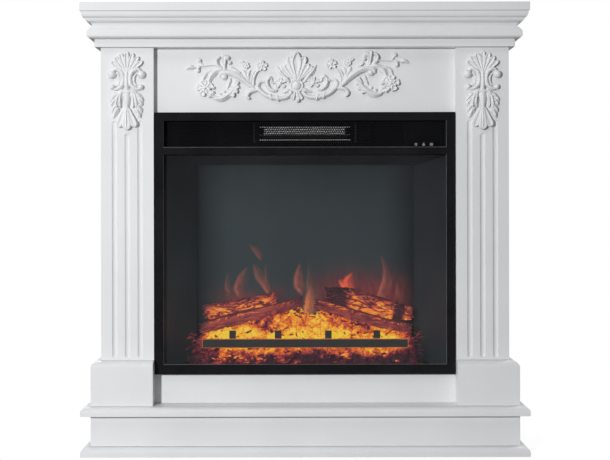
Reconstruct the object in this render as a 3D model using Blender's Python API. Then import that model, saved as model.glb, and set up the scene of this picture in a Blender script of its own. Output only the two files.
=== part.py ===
"""An electric fireplace: a white MDF mantel round a black steel firebox insert.

The frame has +Z up, the front towards -Y and +X to the right of someone who faces the fire. The origin
is on the floor, under the centre of the base. All sizes are in metres.
"""

import math

import bmesh
import bpy
from mathutils import Vector

# ---- Driving dimensions: the mantel ----
GAP = 0.0003  # between pieces that touch
WIDTH = 1.000  # over the shelf and the base
DEPTH = 0.350
HEIGHT = 1.010
OVERHANG = 0.040  # of the shelf and the base past the pilasters, in front and on both sides
BOARD = 0.016  # thickness of the carcass boards
PILASTER_WIDTH = 0.119
PILASTER_THICK = 0.017
BLOCK_OVERHANG = 0.0203  # of the plinth blocks past the pilasters
FASCIA_OVERHANG = 0.0118  # of the fascia board past the pilasters
BASE_BOARD = 0.020  # thickness of the two base boards
EDGE_FLAT = 0.008  # height of the upright part of their routed edges
BASE_TOP = 0.110
BLOCK_TOP = 0.1965
CAP_TOP = 0.2100
FASCIA_BOTTOM = 0.9147
FASCIA_TOP = 0.9323
SHELF_BOTTOM = 0.9911

# ---- Driving dimensions: the insert ----
TRIM_HALF = 0.3396  # half the width of the front trim
TRIM_BOTTOM = 0.1769
TRIM_TOP = 0.7695
TRIM_DEPTH = 0.0117
WINDOW_HALF = 0.3202  # half the width of both windows in the trim
GLASS_BOTTOM = 0.1990
GLASS_TOP = 0.6737
VENT_BOTTOM = 0.6898
VENT_TOP = 0.7503
SHEET = 0.0015  # case and firebox sheet
CASE_HALF = 0.3285
CASE_BOTTOM = 0.1885
CASE_TOP = 0.7580
CASE_BACK = 0.080
SCREEN_Y = 0.030
DECK_Z = 0.6805  # the floor of the heater compartment
BUTTON_TRAVEL = 0.002
GLAND_X, GLAND_Z = 0.298, 0.225  # where the mains lead leaves the rear cover

# ---- Planes that follow from them ----
FRONT = -DEPTH / 2
BACK = DEPTH / 2
PILASTER_FACE = FRONT + OVERHANG
FACADE_FACE = PILASTER_FACE + PILASTER_THICK
FACADE_BACK = FACADE_FACE + BOARD
PILASTER_OUT = WIDTH / 2 - OVERHANG
PILASTER_IN = PILASTER_OUT - PILASTER_WIDTH
RISER_OUT = PILASTER_OUT + BLOCK_OVERHANG
OPENING_HALF = CASE_HALF + 0.0015
OPENING_BOTTOM = TRIM_BOTTOM + 0.0097
OPENING_TOP = TRIM_TOP - 0.0100
TRIM_BACK = FACADE_FACE - GAP
TRIM_FRONT = TRIM_BACK - TRIM_DEPTH
GLASS_FRONT = FACADE_FACE + 0.0002
GLASS_BACK = GLASS_FRONT + 0.004
INNER_HALF = CASE_HALF - SHEET
INNER_FLOOR = CASE_BOTTOM + SHEET

SIDES = (("left", -1), ("right", 1))


# ---- Materials ----
def material(name, colour, roughness, metallic=0.0, alpha=1.0):
    made = bpy.data.materials.new(name)
    made.use_nodes = True
    shader = made.node_tree.nodes["Principled BSDF"]
    shader.inputs["Base Color"].default_value = (*colour, 1.0)
    shader.inputs["Roughness"].default_value = roughness
    shader.inputs["Metallic"].default_value = metallic
    shader.inputs["Alpha"].default_value = alpha
    return made


# ---- Modelling helpers ----
def finish(bm, name, finish_material, origin=None):
    """Turns a bmesh in world coordinates into an object with its origin at `origin`, or at its middle."""
    bmesh.ops.recalc_face_normals(bm, faces=bm.faces)
    if origin is None:
        low = Vector(min(v.co[k] for v in bm.verts) for k in range(3))
        high = Vector(max(v.co[k] for v in bm.verts) for k in range(3))
        origin = (low + high) / 2
    origin = Vector(origin)
    bmesh.ops.translate(bm, vec=-origin, verts=bm.verts)
    mesh = bpy.data.meshes.new(name)
    bm.to_mesh(mesh)
    bm.free()
    mesh.shade_smooth()
    mesh.set_sharp_from_angle(angle=math.radians(35))
    obj = bpy.data.objects.new(name, mesh)
    obj.location = origin
    bpy.context.scene.collection.objects.link(obj)
    if finish_material:
        mesh.materials.append(finish_material)
    return obj


def add_loft(bm, loops, ring=False):
    """Joins point loops of one length into a skin. It is capped, unless `ring` joins its ends."""
    rows = [[bm.verts.new(point) for point in loop] for loop in loops]
    pairs = list(zip(rows, rows[1:]))
    if ring:
        pairs.append((rows[-1], rows[0]))
    count = len(rows[0])
    for low, high in pairs:
        for i in range(count):
            j = (i + 1) % count
            bm.faces.new((low[i], low[j], high[j], high[i]))
    if not ring:
        bm.faces.new(rows[0])
        bm.faces.new(rows[-1])


def loft(name, loops, finish_material, ring=False, origin=None):
    bm = bmesh.new()
    add_loft(bm, loops, ring)
    return finish(bm, name, finish_material, origin)


def rectangle(x, y, z):
    return [(x[0], y[0], z), (x[1], y[0], z), (x[1], y[1], z), (x[0], y[1], z)]


def box(name, x, y, z, finish_material=None):
    return loft(name, [rectangle(x, y, z[0]), rectangle(x, y, z[1])], finish_material)


def mirrored(span, side):
    """An x span on the right-hand side, taken to the side given as -1 or 1."""
    return tuple(sorted(side * x for x in span))


def circle(centre, radius, axis, along, count=24):
    """A ring of points round a line parallel to `axis` through `centre`, `along` metres along it."""
    points = []
    for i in range(count):
        angle = 2 * math.pi * i / count
        offset = [radius * math.cos(angle), radius * math.sin(angle)]
        point = list(centre)
        for k in range(3):
            point[k] += along if k == axis else offset.pop(0)
        points.append(tuple(point))
    return points


def turned(name, centre, axis, stations, finish_material, count=24, origin=None):
    """A solid of revolution. Each station is (distance along the axis, radius)."""
    loops = [circle(centre, radius, axis, along, count) for along, radius in stations]
    return loft(name, loops, finish_material, origin=origin)


def turned_ring(name, centre, axis, profile, finish_material, count=24):
    """A ring of revolution with a hole along its axis. The profile is a closed (along, radius) outline."""
    columns = [circle(centre, radius, axis, along, count) for along, radius in profile]
    loops = [[column[i] for column in columns] for i in range(count)]
    return loft(name, loops, finish_material, ring=True)


def extruded(name, outline, y, finish_material=None):
    """An (x, z) outline made solid between two values of y."""
    loops = [[(x, value, z) for x, z in outline] for value in y]
    return loft(name, loops, finish_material)


def smooth_outline(points, steps=3):
    """A closed Catmull-Rom curve through the points."""
    count = len(points)
    out = []
    for i in range(count):
        p = [Vector(points[(i + k) % count]) for k in (-1, 0, 1, 2)]
        for step in range(steps):
            t = step / steps
            out.append(
                0.5
                * (
                    2 * p[1]
                    + (p[2] - p[0]) * t
                    + (2 * p[0] - 5 * p[1] + 4 * p[2] - p[3]) * t**2
                    + (3 * p[1] - p[0] - 3 * p[2] + p[3]) * t**3
                )
            )
    return [tuple(point) for point in out]


def quarter(start, end, steps, convex):
    """Points on a quarter ellipse from start to end. A convex one leaves `start` along the first axis."""
    points = []
    for i in range(steps + 1):
        angle = math.pi / 2 * i / steps
        a, b = math.sin(angle), 1 - math.cos(angle)
        if not convex:
            a, b = b, a
        points.append((start[0] + (end[0] - start[0]) * a, start[1] + (end[1] - start[1]) * b))
    return points


def modify(target, other, operation):
    other.hide_render = True
    other.display_type = "WIRE"
    boolean = target.modifiers.new(other.name, "BOOLEAN")
    boolean.operation = operation
    boolean.solver = "EXACT"
    boolean.object = other


def cut(target, other):
    modify(target, other, "DIFFERENCE")


def cut_box(target, x, y, z):
    cut(target, box(target.name + "_cutter", x, y, z))


def cut_many(target, loops_of_each):
    """Cuts several separate shapes, held in one cutter object."""
    bm = bmesh.new()
    for loops in loops_of_each:
        add_loft(bm, loops)
    cut(target, finish(bm, target.name + "_cutters", None))


# ---- The mantel ----
def wrapped_board(name, levels, finish_material):
    """A board whose edge profile runs round its front and both sides. Each level is (overhang, z)."""
    loops = []
    for overhang, z in levels:
        half = PILASTER_OUT + overhang
        loops.append(rectangle((-half, half), (PILASTER_FACE - overhang, BACK), z))
    return loft(name, loops, finish_material)


def routed_edge(bottom):
    """(overhang, z) levels of a base board: an upright edge, rounded over into a flat top."""
    flat = bottom + EDGE_FLAT
    top = bottom + BASE_BOARD
    rounding = 0.013
    return [(OVERHANG, bottom)] + quarter((OVERHANG, flat), (OVERHANG - rounding, top), 8, False)


def make_base(white):
    wrapped_board("base_plate", routed_edge(0.0), white)
    hearth_bottom = BASE_TOP - BASE_BOARD
    wrapped_board("hearth_board", routed_edge(hearth_bottom), white)
    z = (BASE_BOARD + GAP, hearth_bottom - GAP)
    riser_front = PILASTER_FACE - BLOCK_OVERHANG
    box("riser_front", (-RISER_OUT, RISER_OUT), (riser_front, riser_front + BOARD), z, white)
    for side_name, side in SIDES:
        x = mirrored((RISER_OUT - BOARD, RISER_OUT), side)
        box(f"riser_{side_name}", x, (riser_front + BOARD + GAP, BACK), z, white)


def make_facade(white):
    y = (FACADE_FACE, FACADE_BACK)
    full = (-PILASTER_OUT, PILASTER_OUT)
    bottom, top = BASE_TOP + GAP, FASCIA_BOTTOM - GAP
    box("frieze_panel", full, y, (OPENING_TOP, top), white)
    box("lower_panel", full, y, (bottom, OPENING_BOTTOM), white)
    for side_name, side in SIDES:
        stile_x = mirrored((OPENING_HALF, PILASTER_OUT), side)
        stile_z = (OPENING_BOTTOM + GAP, OPENING_TOP - GAP)
        box(f"stile_{side_name}", stile_x, y, stile_z, white)
        panel_x = mirrored((PILASTER_OUT - BOARD, PILASTER_OUT), side)
        box(f"side_panel_{side_name}", panel_x, (FACADE_BACK + GAP, BACK), (bottom, top), white)
    shelf_half = PILASTER_OUT - BOARD - GAP
    shelf_top = CASE_BOTTOM - GAP
    shelf_y = (FACADE_BACK + GAP, CASE_BACK + 0.020)
    box("insert_shelf", (-shelf_half, shelf_half), shelf_y, (shelf_top - BOARD, shelf_top), white)


def flute(x, bottom, top):
    """Loops of a round-ended cutter, which leaves a shallow groove in the pilaster's face."""
    radius, depth = 0.0070, 0.0036
    centre = (x, PILASTER_FACE - radius + depth, 0.0)
    loops = []
    for end, first, last in ((bottom, -80, 0), (top, 0, 80)):
        for degrees in range(first, last + 1, 20):
            angle = math.radians(degrees)
            inset = radius * (1 - abs(math.sin(angle)))
            z = end + inset if end == bottom else end - inset
            loops.append(circle(centre, radius * math.cos(angle), 2, z, 16))
    return loops


def make_pilasters(white):
    flute_pitch = 0.0288
    flute_bottom = CAP_TOP + 0.004
    flute_tops = {-1: 0.751, 0: 0.722, 1: 0.751}
    middle = (PILASTER_IN + PILASTER_OUT) / 2
    for side_name, side in SIDES:
        pilaster = box(
            f"pilaster_{side_name}",
            mirrored((PILASTER_IN, PILASTER_OUT), side),
            (PILASTER_FACE, FACADE_FACE - GAP),
            (CAP_TOP + GAP, FASCIA_BOTTOM - GAP),
            white,
        )
        flutes = [
            flute(side * middle + i * flute_pitch, flute_bottom, top)
            for i, top in flute_tops.items()
        ]
        cut_many(pilaster, flutes)


def make_plinths(white):
    """The blocks under the pilasters, and the boards that carry their shape back along the sides."""
    bottom = BASE_TOP + GAP
    cap = quarter((BLOCK_OVERHANG, BLOCK_TOP), (0.0006, CAP_TOP), 6, False)
    levels = [(BLOCK_OVERHANG, bottom)] + cap
    for side_name, side in SIDES:
        block_loops, return_loops = [], []
        for overhang, z in levels:
            out = PILASTER_OUT + overhang
            y = (PILASTER_FACE - overhang, FACADE_FACE - GAP)
            block_loops.append(rectangle(mirrored((PILASTER_IN, out), side), y, z))
            back_y = (FACADE_FACE, BACK)
            inner = PILASTER_OUT + GAP
            return_loops.append(rectangle(mirrored((inner, out), side), back_y, z))
        loft(f"plinth_block_{side_name}", block_loops, white)
        loft(f"plinth_return_{side_name}", return_loops, white)


def crown_profile():
    """The (overhang, z) outline of the crown moulding, from its top edge down its face and up its back."""
    bottom, top = FASCIA_TOP + GAP, SHELF_BOTTOM - GAP
    ovolo = quarter((0.0374, top - 0.0012), (0.0322, 0.9777), 4, False)
    upper = quarter((0.0301, 0.9768), (0.0235, 0.9685), 4, False)
    cove = quarter((0.0222, 0.9682), (0.0160, 0.9604), 4, True)
    torus = [(0.0186, 0.9575), (0.0223, 0.9535), (0.0254, 0.9493), (0.0264, 0.9454)]
    foot = quarter((0.0264, 0.9380), (0.0161, bottom), 4, False)
    back = -0.012
    return [(0.0374, top)] + ovolo + upper + cove + torus + foot + [(back, bottom), (back, top)]


def make_crown(white):
    fascia_z = (FASCIA_BOTTOM, FASCIA_TOP)
    wrapped_board("fascia_board", [(FASCIA_OVERHANG, z) for z in fascia_z], white)
    wrapped_board("mantel_shelf", [(OVERHANG, z) for z in (SHELF_BOTTOM, HEIGHT)], white)
    profile = crown_profile()
    mitre = 0.00045  # along the run, which leaves GAP square to the mitre's face
    ends = [
        [(side * (PILASTER_OUT + o), PILASTER_FACE - o, z) for o, z in profile]
        for side in (-1, 1)
    ]
    loft("crown_moulding_front", ends, white)
    for side_name, side in SIDES:
        ends = [
            [(side * (PILASTER_OUT + o), PILASTER_FACE - o + mitre, z) for o, z in profile],
            [(side * (PILASTER_OUT + o), BACK, z) for o, z in profile],
        ]
        loft(f"crown_moulding_{side_name}", ends, white)


def relief(name, outline, face, thick, white):
    """A flat-backed ornament with sloping edges, standing on a face that looks towards -Y."""
    x_middle = sum(x for x, _ in outline) / len(outline)
    z_middle = sum(z for _, z in outline) / len(outline)
    loops = []
    for height, shrink in ((GAP, 1.0), (0.6 * thick, 1.0), (thick, 0.965)):
        loop = []
        for x, z in outline:
            x_now = x_middle + (x - x_middle) * shrink
            z_now = z_middle + (z - z_middle) * shrink
            loop.append((x_now, face - height, z_now))
        loops.append(loop)
    loft(name, loops, white)


def make_ornaments(white):
    """Plain blanks of the carved ornaments: a swag on the frieze, and a drop on each pilaster."""
    swag_half = [
        (0.014, 0.111), (0.028, 0.098), (0.030, 0.084), (0.052, 0.092), (0.056, 0.074), (0.074, 0.072),
        (0.086, 0.056), (0.100, 0.082), (0.124, 0.100), (0.146, 0.088), (0.164, 0.112), (0.186, 0.104),
        (0.204, 0.096), (0.226, 0.110), (0.252, 0.102), (0.250, 0.088), (0.226, 0.080), (0.230, 0.052),
        (0.212, 0.026), (0.182, 0.010), (0.176, 0.022), (0.186, 0.040), (0.160, 0.044), (0.142, 0.028),
        (0.126, 0.012), (0.108, 0.014), (0.076, 0.006), (0.044, 0.003), (0.010, 0.000),
    ]  # fmt: skip
    swag_x, swag_z = -0.0165, 0.7938
    outline = smooth_outline(swag_half + [(-x, z) for x, z in reversed(swag_half)], 2)
    outline = [(swag_x + x, swag_z + z) for x, z in outline]
    relief("frieze_ornament", outline, FACADE_FACE, 0.009, white)

    drop_half = [
        (0.010, 0.176), (0.024, 0.168), (0.033, 0.150), (0.027, 0.138), (0.038, 0.129), (0.039, 0.116),
        (0.031, 0.108), (0.037, 0.096), (0.030, 0.084), (0.037, 0.070), (0.033, 0.052), (0.030, 0.036),
        (0.026, 0.018), (0.014, 0.004), (0.004, 0.000),
    ]  # fmt: skip
    drop_z = 0.7285
    middle = (PILASTER_IN + PILASTER_OUT) / 2
    for side_name, side in SIDES:
        outline = smooth_outline(drop_half + [(-x, z) for x, z in reversed(drop_half)], 2)
        outline = [(side * middle + x, drop_z + z) for x, z in outline]
        relief(f"pilaster_ornament_{side_name}", outline, PILASTER_FACE, 0.009, white)


# ---- The insert: case and front ----
def make_trim(black):
    """The front trim, a folded channel: both windows go through it, and its back is hollow."""
    trim = box(
        "trim_frame",
        (-TRIM_HALF, TRIM_HALF),
        (TRIM_FRONT, TRIM_BACK),
        (TRIM_BOTTOM, TRIM_TOP),
        black,
    )
    through = (TRIM_FRONT - 0.01, TRIM_BACK + 0.01)
    for z in ((GLASS_BOTTOM, GLASS_TOP), (VENT_BOTTOM, VENT_TOP)):
        cut_box(trim, (-WINDOW_HALF, WINDOW_HALF), through, z)
    wall = 0.002
    hollow = (TRIM_FRONT + wall, TRIM_BACK + 0.01)
    for side in (-1, 1):
        groove_x = mirrored((WINDOW_HALF + wall, TRIM_HALF - wall), side)
        cut_box(trim, groove_x, hollow, (TRIM_BOTTOM + wall, TRIM_TOP - wall))
    bars = ((TRIM_BOTTOM, GLASS_BOTTOM), (GLASS_TOP, VENT_BOTTOM), (VENT_TOP, TRIM_TOP))
    groove_half = TRIM_HALF - 0.010
    for low, high in bars:
        cut_box(trim, (-groove_half, groove_half), hollow, (low + wall, high - wall))


def make_case(black, clear):
    case = box(
        "case_wrapper",
        (-CASE_HALF, CASE_HALF),
        (FACADE_FACE, CASE_BACK),
        (CASE_BOTTOM, CASE_TOP),
        black,
    )
    inner_x = (-INNER_HALF, INNER_HALF)
    inner_z = (INNER_FLOOR, CASE_TOP - SHEET)
    cut_box(case, inner_x, (FACADE_FACE - 0.01, CASE_BACK + 0.01), inner_z)

    cover_y = (CASE_BACK + GAP, CASE_BACK + GAP + SHEET)
    cover = box("rear_cover", (-CASE_HALF, CASE_HALF), cover_y, (CASE_BOTTOM, CASE_TOP), black)
    louvre, pitch_x, pitch_z, rows, columns = (0.040, 0.004), 0.056, 0.012, 4, 7
    through = (cover_y[0] - 0.01, cover_y[1] + 0.01)
    slots = []
    for row in range(rows):
        z = DECK_Z + 0.020 + row * pitch_z
        for column in range(columns):
            x = (column - (columns - 1) / 2) * pitch_x
            x_span = (x - louvre[0] / 2, x + louvre[0] / 2)
            ends = (z - louvre[1] / 2, z + louvre[1] / 2)
            slots.append([rectangle(x_span, through, value) for value in ends])
    slots.append([circle((GLAND_X, 0, GLAND_Z), 0.0068, 1, value) for value in through])
    cut_many(cover, slots)

    glass_half = INNER_HALF - 0.0015
    glass_z = (INNER_FLOOR + 0.0035, DECK_Z - SHEET)
    box("front_glass", (-glass_half, glass_half), (GLASS_FRONT, GLASS_BACK), glass_z, clear)


def make_gland(black):
    """The strain relief that the mains lead comes out of, with its bore open."""
    bore = 0.0036
    face = CASE_BACK + 2 * GAP + SHEET
    profile = [
        (CASE_BACK - 0.010, bore),
        (CASE_BACK - 0.010, 0.0062),
        (face, 0.0062),
        (face, 0.0110),
        (face + 0.004, 0.0110),
        (face + 0.005, 0.0080),
        (face + 0.020, 0.0056),
        (face + 0.020, bore),
    ]
    turned_ring("cable_gland", (GLAND_X, 0, GLAND_Z), 1, profile, black)


# ---- The insert: firebox ----
CHEEK_FRONT = GLASS_BACK + 0.0010
CHEEK_BACK = SCREEN_Y - GAP
CHEEK_INNER = (0.3225, 0.2615)  # distance from the middle, in front and at the screen
CEILING_Z = (0.6755, 0.6575)  # underside of the ceiling, in front and at the screen


def make_firebox(black, screen):
    bottom = INNER_FLOOR + GAP
    for side_name, side in SIDES:
        loops = []
        for z_front, z_back in ((bottom, bottom), (CEILING_Z[0] - GAP, CEILING_Z[1] - GAP)):
            loops.append(
                [
                    (side * CHEEK_INNER[0], CHEEK_FRONT, z_front),
                    (side * (CHEEK_INNER[0] + SHEET), CHEEK_FRONT, z_front),
                    (side * (CHEEK_INNER[1] + SHEET), CHEEK_BACK, z_back),
                    (side * CHEEK_INNER[1], CHEEK_BACK, z_back),
                ]
            )
        loft(f"cheek_{side_name}", loops, black)
    half = INNER_HALF - GAP
    ceiling = [
        [
            (-half, y, z),
            (half, y, z),
            (half, y, z + SHEET),
            (-half, y, z + SHEET),
        ]
        for y, z in zip((CHEEK_FRONT, CHEEK_BACK), CEILING_Z)
    ]
    loft("firebox_ceiling", ceiling, black)
    screen_y = (SCREEN_Y, SCREEN_Y + 0.003)
    box("flame_screen", (-half, half), screen_y, (bottom, DECK_Z - GAP), screen)
    deck_y = (CHEEK_FRONT, CASE_BACK - GAP)
    box("heater_deck", (-half, half), deck_y, (DECK_Z, DECK_Z + SHEET), black)


FLAMES = (
    # middle x, foot z, width, height, lean
    (-0.176, 0.345, 0.016, 0.060, -0.004),
    (-0.148, 0.345, 0.026, 0.085, 0.014),
    (-0.104, 0.340, 0.026, 0.120, -0.020),
    (-0.008, 0.300, 0.036, 0.170, -0.010),
    (0.090, 0.350, 0.044, 0.060, 0.006),
    (0.168, 0.330, 0.026, 0.150, 0.006),
)


def flame_outline(x, z, width, height, lean):
    """A teardrop with its tip leaning sideways."""
    points = []
    count = 16
    for i in range(count):
        angle = 2 * math.pi * i / count
        rise = (1 - math.cos(angle)) / 2
        swell = math.sin(angle) * math.sin(math.pi * rise**0.6) ** 0.5
        points.append((x + swell * width / 2 + lean * rise**2, z + height * rise))
    return points


def make_flame_works(steel, white_plastic, board, black):
    """What throws the flames on the screen: lamps, a spinner of foil tabs, and a mask with cut flames."""
    mask_y = (SCREEN_Y + 0.0045, SCREEN_Y + 0.0055)
    mask = box("flame_mask", (-0.262, 0.262), mask_y, (INNER_FLOOR + GAP, 0.560), steel)
    through = (mask_y[0] - 0.004, mask_y[1] + 0.004)
    shapes = []
    for flame in FLAMES:
        outline = flame_outline(*flame)
        shapes.append([[(x, y, z) for x, z in outline] for y in through])
    cut_many(mask, shapes)

    led_bar("ember_led_strip", (-0.220, 0.220), (-0.062, -0.050), 12, board)
    led_bar("flame_led_strip", (-0.210, 0.210), (0.041, 0.053), 12, board)

    axis_y, axis_z = 0.058, 0.235
    make_rotor((0, axis_y, axis_z), steel)
    plate_x = (-0.2440, -0.2420)
    bracket = box("rotor_bracket", plate_x, (0.045, 0.071), (INNER_FLOOR + GAP, 0.248), steel)
    hole = [circle((0, axis_y, axis_z), 0.0048, 0, x) for x in (-0.250, -0.236)]
    cut_many(bracket, [hole])
    bush = [(-0.2455, 0.0029), (-0.2455, 0.0044), (-0.2405, 0.0044), (-0.2405, 0.0029)]
    turned_ring("rotor_bush", (0, axis_y, axis_z), 0, bush, white_plastic)
    motor = [(0.2420, 0.0175), (0.2430, 0.0190), (0.2630, 0.0190), (0.2640, 0.0175)]
    turned("rotor_motor", (0, axis_y, axis_z), 0, motor, black)


def led_bar(name, x, y, count, board):
    """A circuit strip with a row of square lamps: a toothed outline, extruded."""
    low, top, lamp_top = INNER_FLOOR + GAP, INNER_FLOOR + 0.0020, INNER_FLOOR + 0.0045
    pitch = (x[1] - x[0]) / count
    lamp = 0.005
    outline = [(x[0], low), (x[1], low), (x[1], top)]
    for i in reversed(range(count)):
        middle = x[0] + (i + 0.5) * pitch
        for dx, z in ((1, top), (1, lamp_top), (-1, lamp_top), (-1, top)):
            outline.append((middle + dx * lamp / 2, z))
    outline.append((x[0], top))
    extruded(name, outline, y, board)


def make_rotor(centre, steel):
    """A thin shaft with tabs drawn out of its sides, a quarter turn apart, like a foil flame spinner."""
    radius, reach, sides = 0.0025, 0.0115, 8
    start, end, tab, tabs = -0.2450, 0.2415, 0.020, 10
    pitch = (end - start - 0.030) / tabs
    stations = [start]
    for i in range(tabs):
        first = start + 0.012 + i * pitch
        stations += [first, first + tab]
    stations.append(end)
    bm = bmesh.new()
    add_loft(bm, [circle(centre, radius, 0, along, sides) for along in stations])
    bmesh.ops.recalc_face_normals(bm, faces=bm.faces)
    bm.faces.ensure_lookup_table()
    for i in range(tabs):
        segment = (2 * i + 1) * sides
        for half_turn in (0, sides // 2):
            face = bm.faces[segment + (i % 4 + half_turn) % sides]
            outward = face.normal.copy()
            made = bmesh.ops.extrude_discrete_faces(bm, faces=[face])["faces"]
            bmesh.ops.translate(bm, vec=outward * reach, verts=made[0].verts)
            bm.faces.ensure_lookup_table()
    finish(bm, "flame_rotor", steel, origin=centre)


# ---- The insert: fuel bed ----
BED_HALF = 0.262
BED_FRONT, BED_BACK = -0.0970, 0.0200


def bed_height(x, y):
    """Top of the ember bed: a low mound, highest in the middle, that slopes down to the front."""
    side = abs(x) / BED_HALF
    crest = 0.245 + 0.056 * (1 - side**1.2)
    ramp = min(1.0, max(0.0, (y - BED_FRONT) / 0.048))
    front = 0.2000 + (crest - 0.2000) * ramp**0.75
    drop = 0.020 * side * min(1.0, max(0.0, (y + 0.024) / 0.010))
    return front - drop + 0.0015 * math.sin(x * 150) * math.cos(y * 170)


def make_ember_bed(amber):
    """A shell, open below, over the lamps of the ember_led_strip."""
    columns, rows, wall = 32, 10, 0.005
    ys = [BED_FRONT + (BED_BACK - BED_FRONT) * i / rows for i in range(rows + 1)]
    loops = []
    for column in range(columns + 1):
        x = -BED_HALF + 2 * BED_HALF * column / columns
        top = [(x, y, bed_height(x, y)) for y in ys]
        inner = [y for y in ys[1:-1]]
        under = [(x, y, max(bed_height(x, y) - wall, INNER_FLOOR + 0.006)) for y in reversed(inner)]
        feet = [(x, BED_BACK, INNER_FLOOR + GAP), (x, BED_BACK - wall, INNER_FLOOR + GAP)]
        toe = [(x, BED_FRONT + 0.004, INNER_FLOOR + GAP), (x, BED_FRONT, INNER_FLOOR + GAP)]
        loops.append(top + feet + under + toe)
    loft("ember_bed", loops, amber)


def make_log(name, start, end, radius, bark, knots=3):
    """A tapered, slightly knotted log between two points."""
    start, end = Vector(start), Vector(end)
    direction = (end - start).normalized()
    side = direction.cross(Vector((0, 0, 1))).normalized()
    up = side.cross(direction)
    sections, sides = 10, 12
    loops = []
    for i in range(sections + 1):
        t = i / sections
        taper = 1.0 - 0.12 * t + 0.05 * math.sin(knots * math.pi * t)
        if i in (0, sections):
            taper *= 0.86
        centre = start + (end - start) * t
        loop = []
        for k in range(sides):
            angle = 2 * math.pi * k / sides
            r = radius * taper * (1 + 0.06 * math.sin(3 * angle + 5 * t))
            loop.append(centre + side * r * math.cos(angle) + up * r * math.sin(angle))
        loops.append(loop)
    loft(name, loops, bark)


def make_fuel(amber, bark, iron):
    make_ember_bed(amber)
    make_log("log_left_front", (-0.238, -0.034, 0.271), (-0.006, -0.034, 0.337), 0.0145, bark)
    make_log("log_left_rear", (-0.236, 0.0040, 0.3030), (-0.078, 0.0040, 0.3310), 0.0220, bark)
    make_log("log_right_front", (0.240, -0.034, 0.271), (0.024, -0.034, 0.325), 0.0140, bark)
    make_log("log_right_rear", (0.250, 0.0040, 0.3070), (0.056, 0.0040, 0.3430), 0.0220, bark)
    bar_half, bar_low, bar_high, prong_top, prong = 0.236, 0.2331, 0.2538, 0.2727, 0.0150
    outline = [(-bar_half, bar_low), (bar_half, bar_low), (bar_half, bar_high)]
    for x in (0.164, 0.053, -0.062, -0.166):
        for dx, z in ((1, bar_high), (1, prong_top), (-1, prong_top), (-1, bar_high)):
            outline.append((x + dx * prong / 2, z))
    outline.append((-bar_half, bar_high))
    extruded("fire_grate", outline, (-0.1010, -0.0980), iron)


# ---- The insert: heater and controls ----
NOZZLE_HALF = 0.1165
NOZZLE_Z = (0.7015, 0.7495)
GRILLE_Y = (-0.1115, -0.1103)
WHEEL_AXIS = (0.0, -0.035, 0.7255)
BUTTON_X = {"power": 0.2520, "flame": 0.2695, "heater": 0.2870}
BUTTON_HALF = 0.0065
BUTTON_Z = (0.6925, 0.7015)


def make_grille(black):
    """The plate behind the upper window. Its vents are long slots here, and three holes pass the stems."""
    half = INNER_HALF - 0.001
    plate_z = (DECK_Z + SHEET + GAP, CASE_TOP - SHEET - GAP)
    grille = box("vent_grille", (-half, half), GRILLE_Y, plate_z, black)
    through = (GRILLE_Y[0] - 0.003, GRILLE_Y[1] + 0.003)
    columns, rows, length, height = 8, 4, 0.060, 0.004
    shapes = []
    for column in range(columns):
        x = (column - (columns - 1) / 2) * 0.076
        for row in range(rows):
            z = 0.7120 + row * 0.0100
            x_span = (x - length / 2, x + length / 2)
            shapes.append([rectangle(x_span, through, v) for v in (z - height / 2, z + height / 2)])
    stem_z = (sum(BUTTON_Z) / 2 - 0.003, sum(BUTTON_Z) / 2 + 0.003)
    for x in BUTTON_X.values():
        shapes.append([rectangle((x - 0.003, x + 0.003), through, v) for v in stem_z])
    cut_many(grille, shapes)


def make_heater(steel, white_plastic, copper, black):
    housing_y = (GRILLE_Y[1] + 0.0005, 0.010)
    housing = box("heater_housing", (-NOZZLE_HALF, NOZZLE_HALF), housing_y, NOZZLE_Z, steel)
    wall = SHEET
    inner_z = (NOZZLE_Z[0] + wall, NOZZLE_Z[1] - wall)
    inner_x = (-NOZZLE_HALF + wall, NOZZLE_HALF - wall)
    cut_box(housing, inner_x, (housing_y[0] - 0.01, housing_y[1] + 0.01), inner_z)
    left_hole = [circle(WHEEL_AXIS, 0.0068, 0, v) for v in (-NOZZLE_HALF - 0.004, -NOZZLE_HALF + 0.006)]
    right_hole = [circle(WHEEL_AXIS, 0.0040, 0, v) for v in (NOZZLE_HALF - 0.006, NOZZLE_HALF + 0.004)]
    cut_many(housing, [left_hole, right_hole])

    fins, fin_half = 14, 0.095
    element = box("heating_element", (-fin_half, fin_half), (-0.0900, -0.0760), (0.7140, 0.7370), copper)
    pitch = 2 * fin_half / fins
    slots = []
    for i in range(fins):
        middle = -fin_half + (i + 0.5) * pitch
        x_span = (middle - 0.35 * pitch, middle + 0.35 * pitch)
        slots.append([rectangle(x_span, (-0.0950, -0.0700), v) for v in (0.7165, 0.7345)])
    cut_many(element, slots)

    make_blower_wheel(black)
    outer, inner = 0.0063, 0.0029
    ends = (-NOZZLE_HALF - 0.0020, -NOZZLE_HALF + 0.0040)
    bearing = [(ends[0], inner), (ends[0], outer), (ends[1], outer), (ends[1], inner)]
    turned_ring("blower_bearing", WHEEL_AXIS, 0, bearing, white_plastic)
    start = NOZZLE_HALF + 0.0005
    motor = [(start, 0.0200), (start + 0.001, 0.0220), (start + 0.032, 0.0220), (start + 0.033, 0.0200)]
    turned("blower_motor", WHEEL_AXIS, 0, motor, steel)


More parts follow.
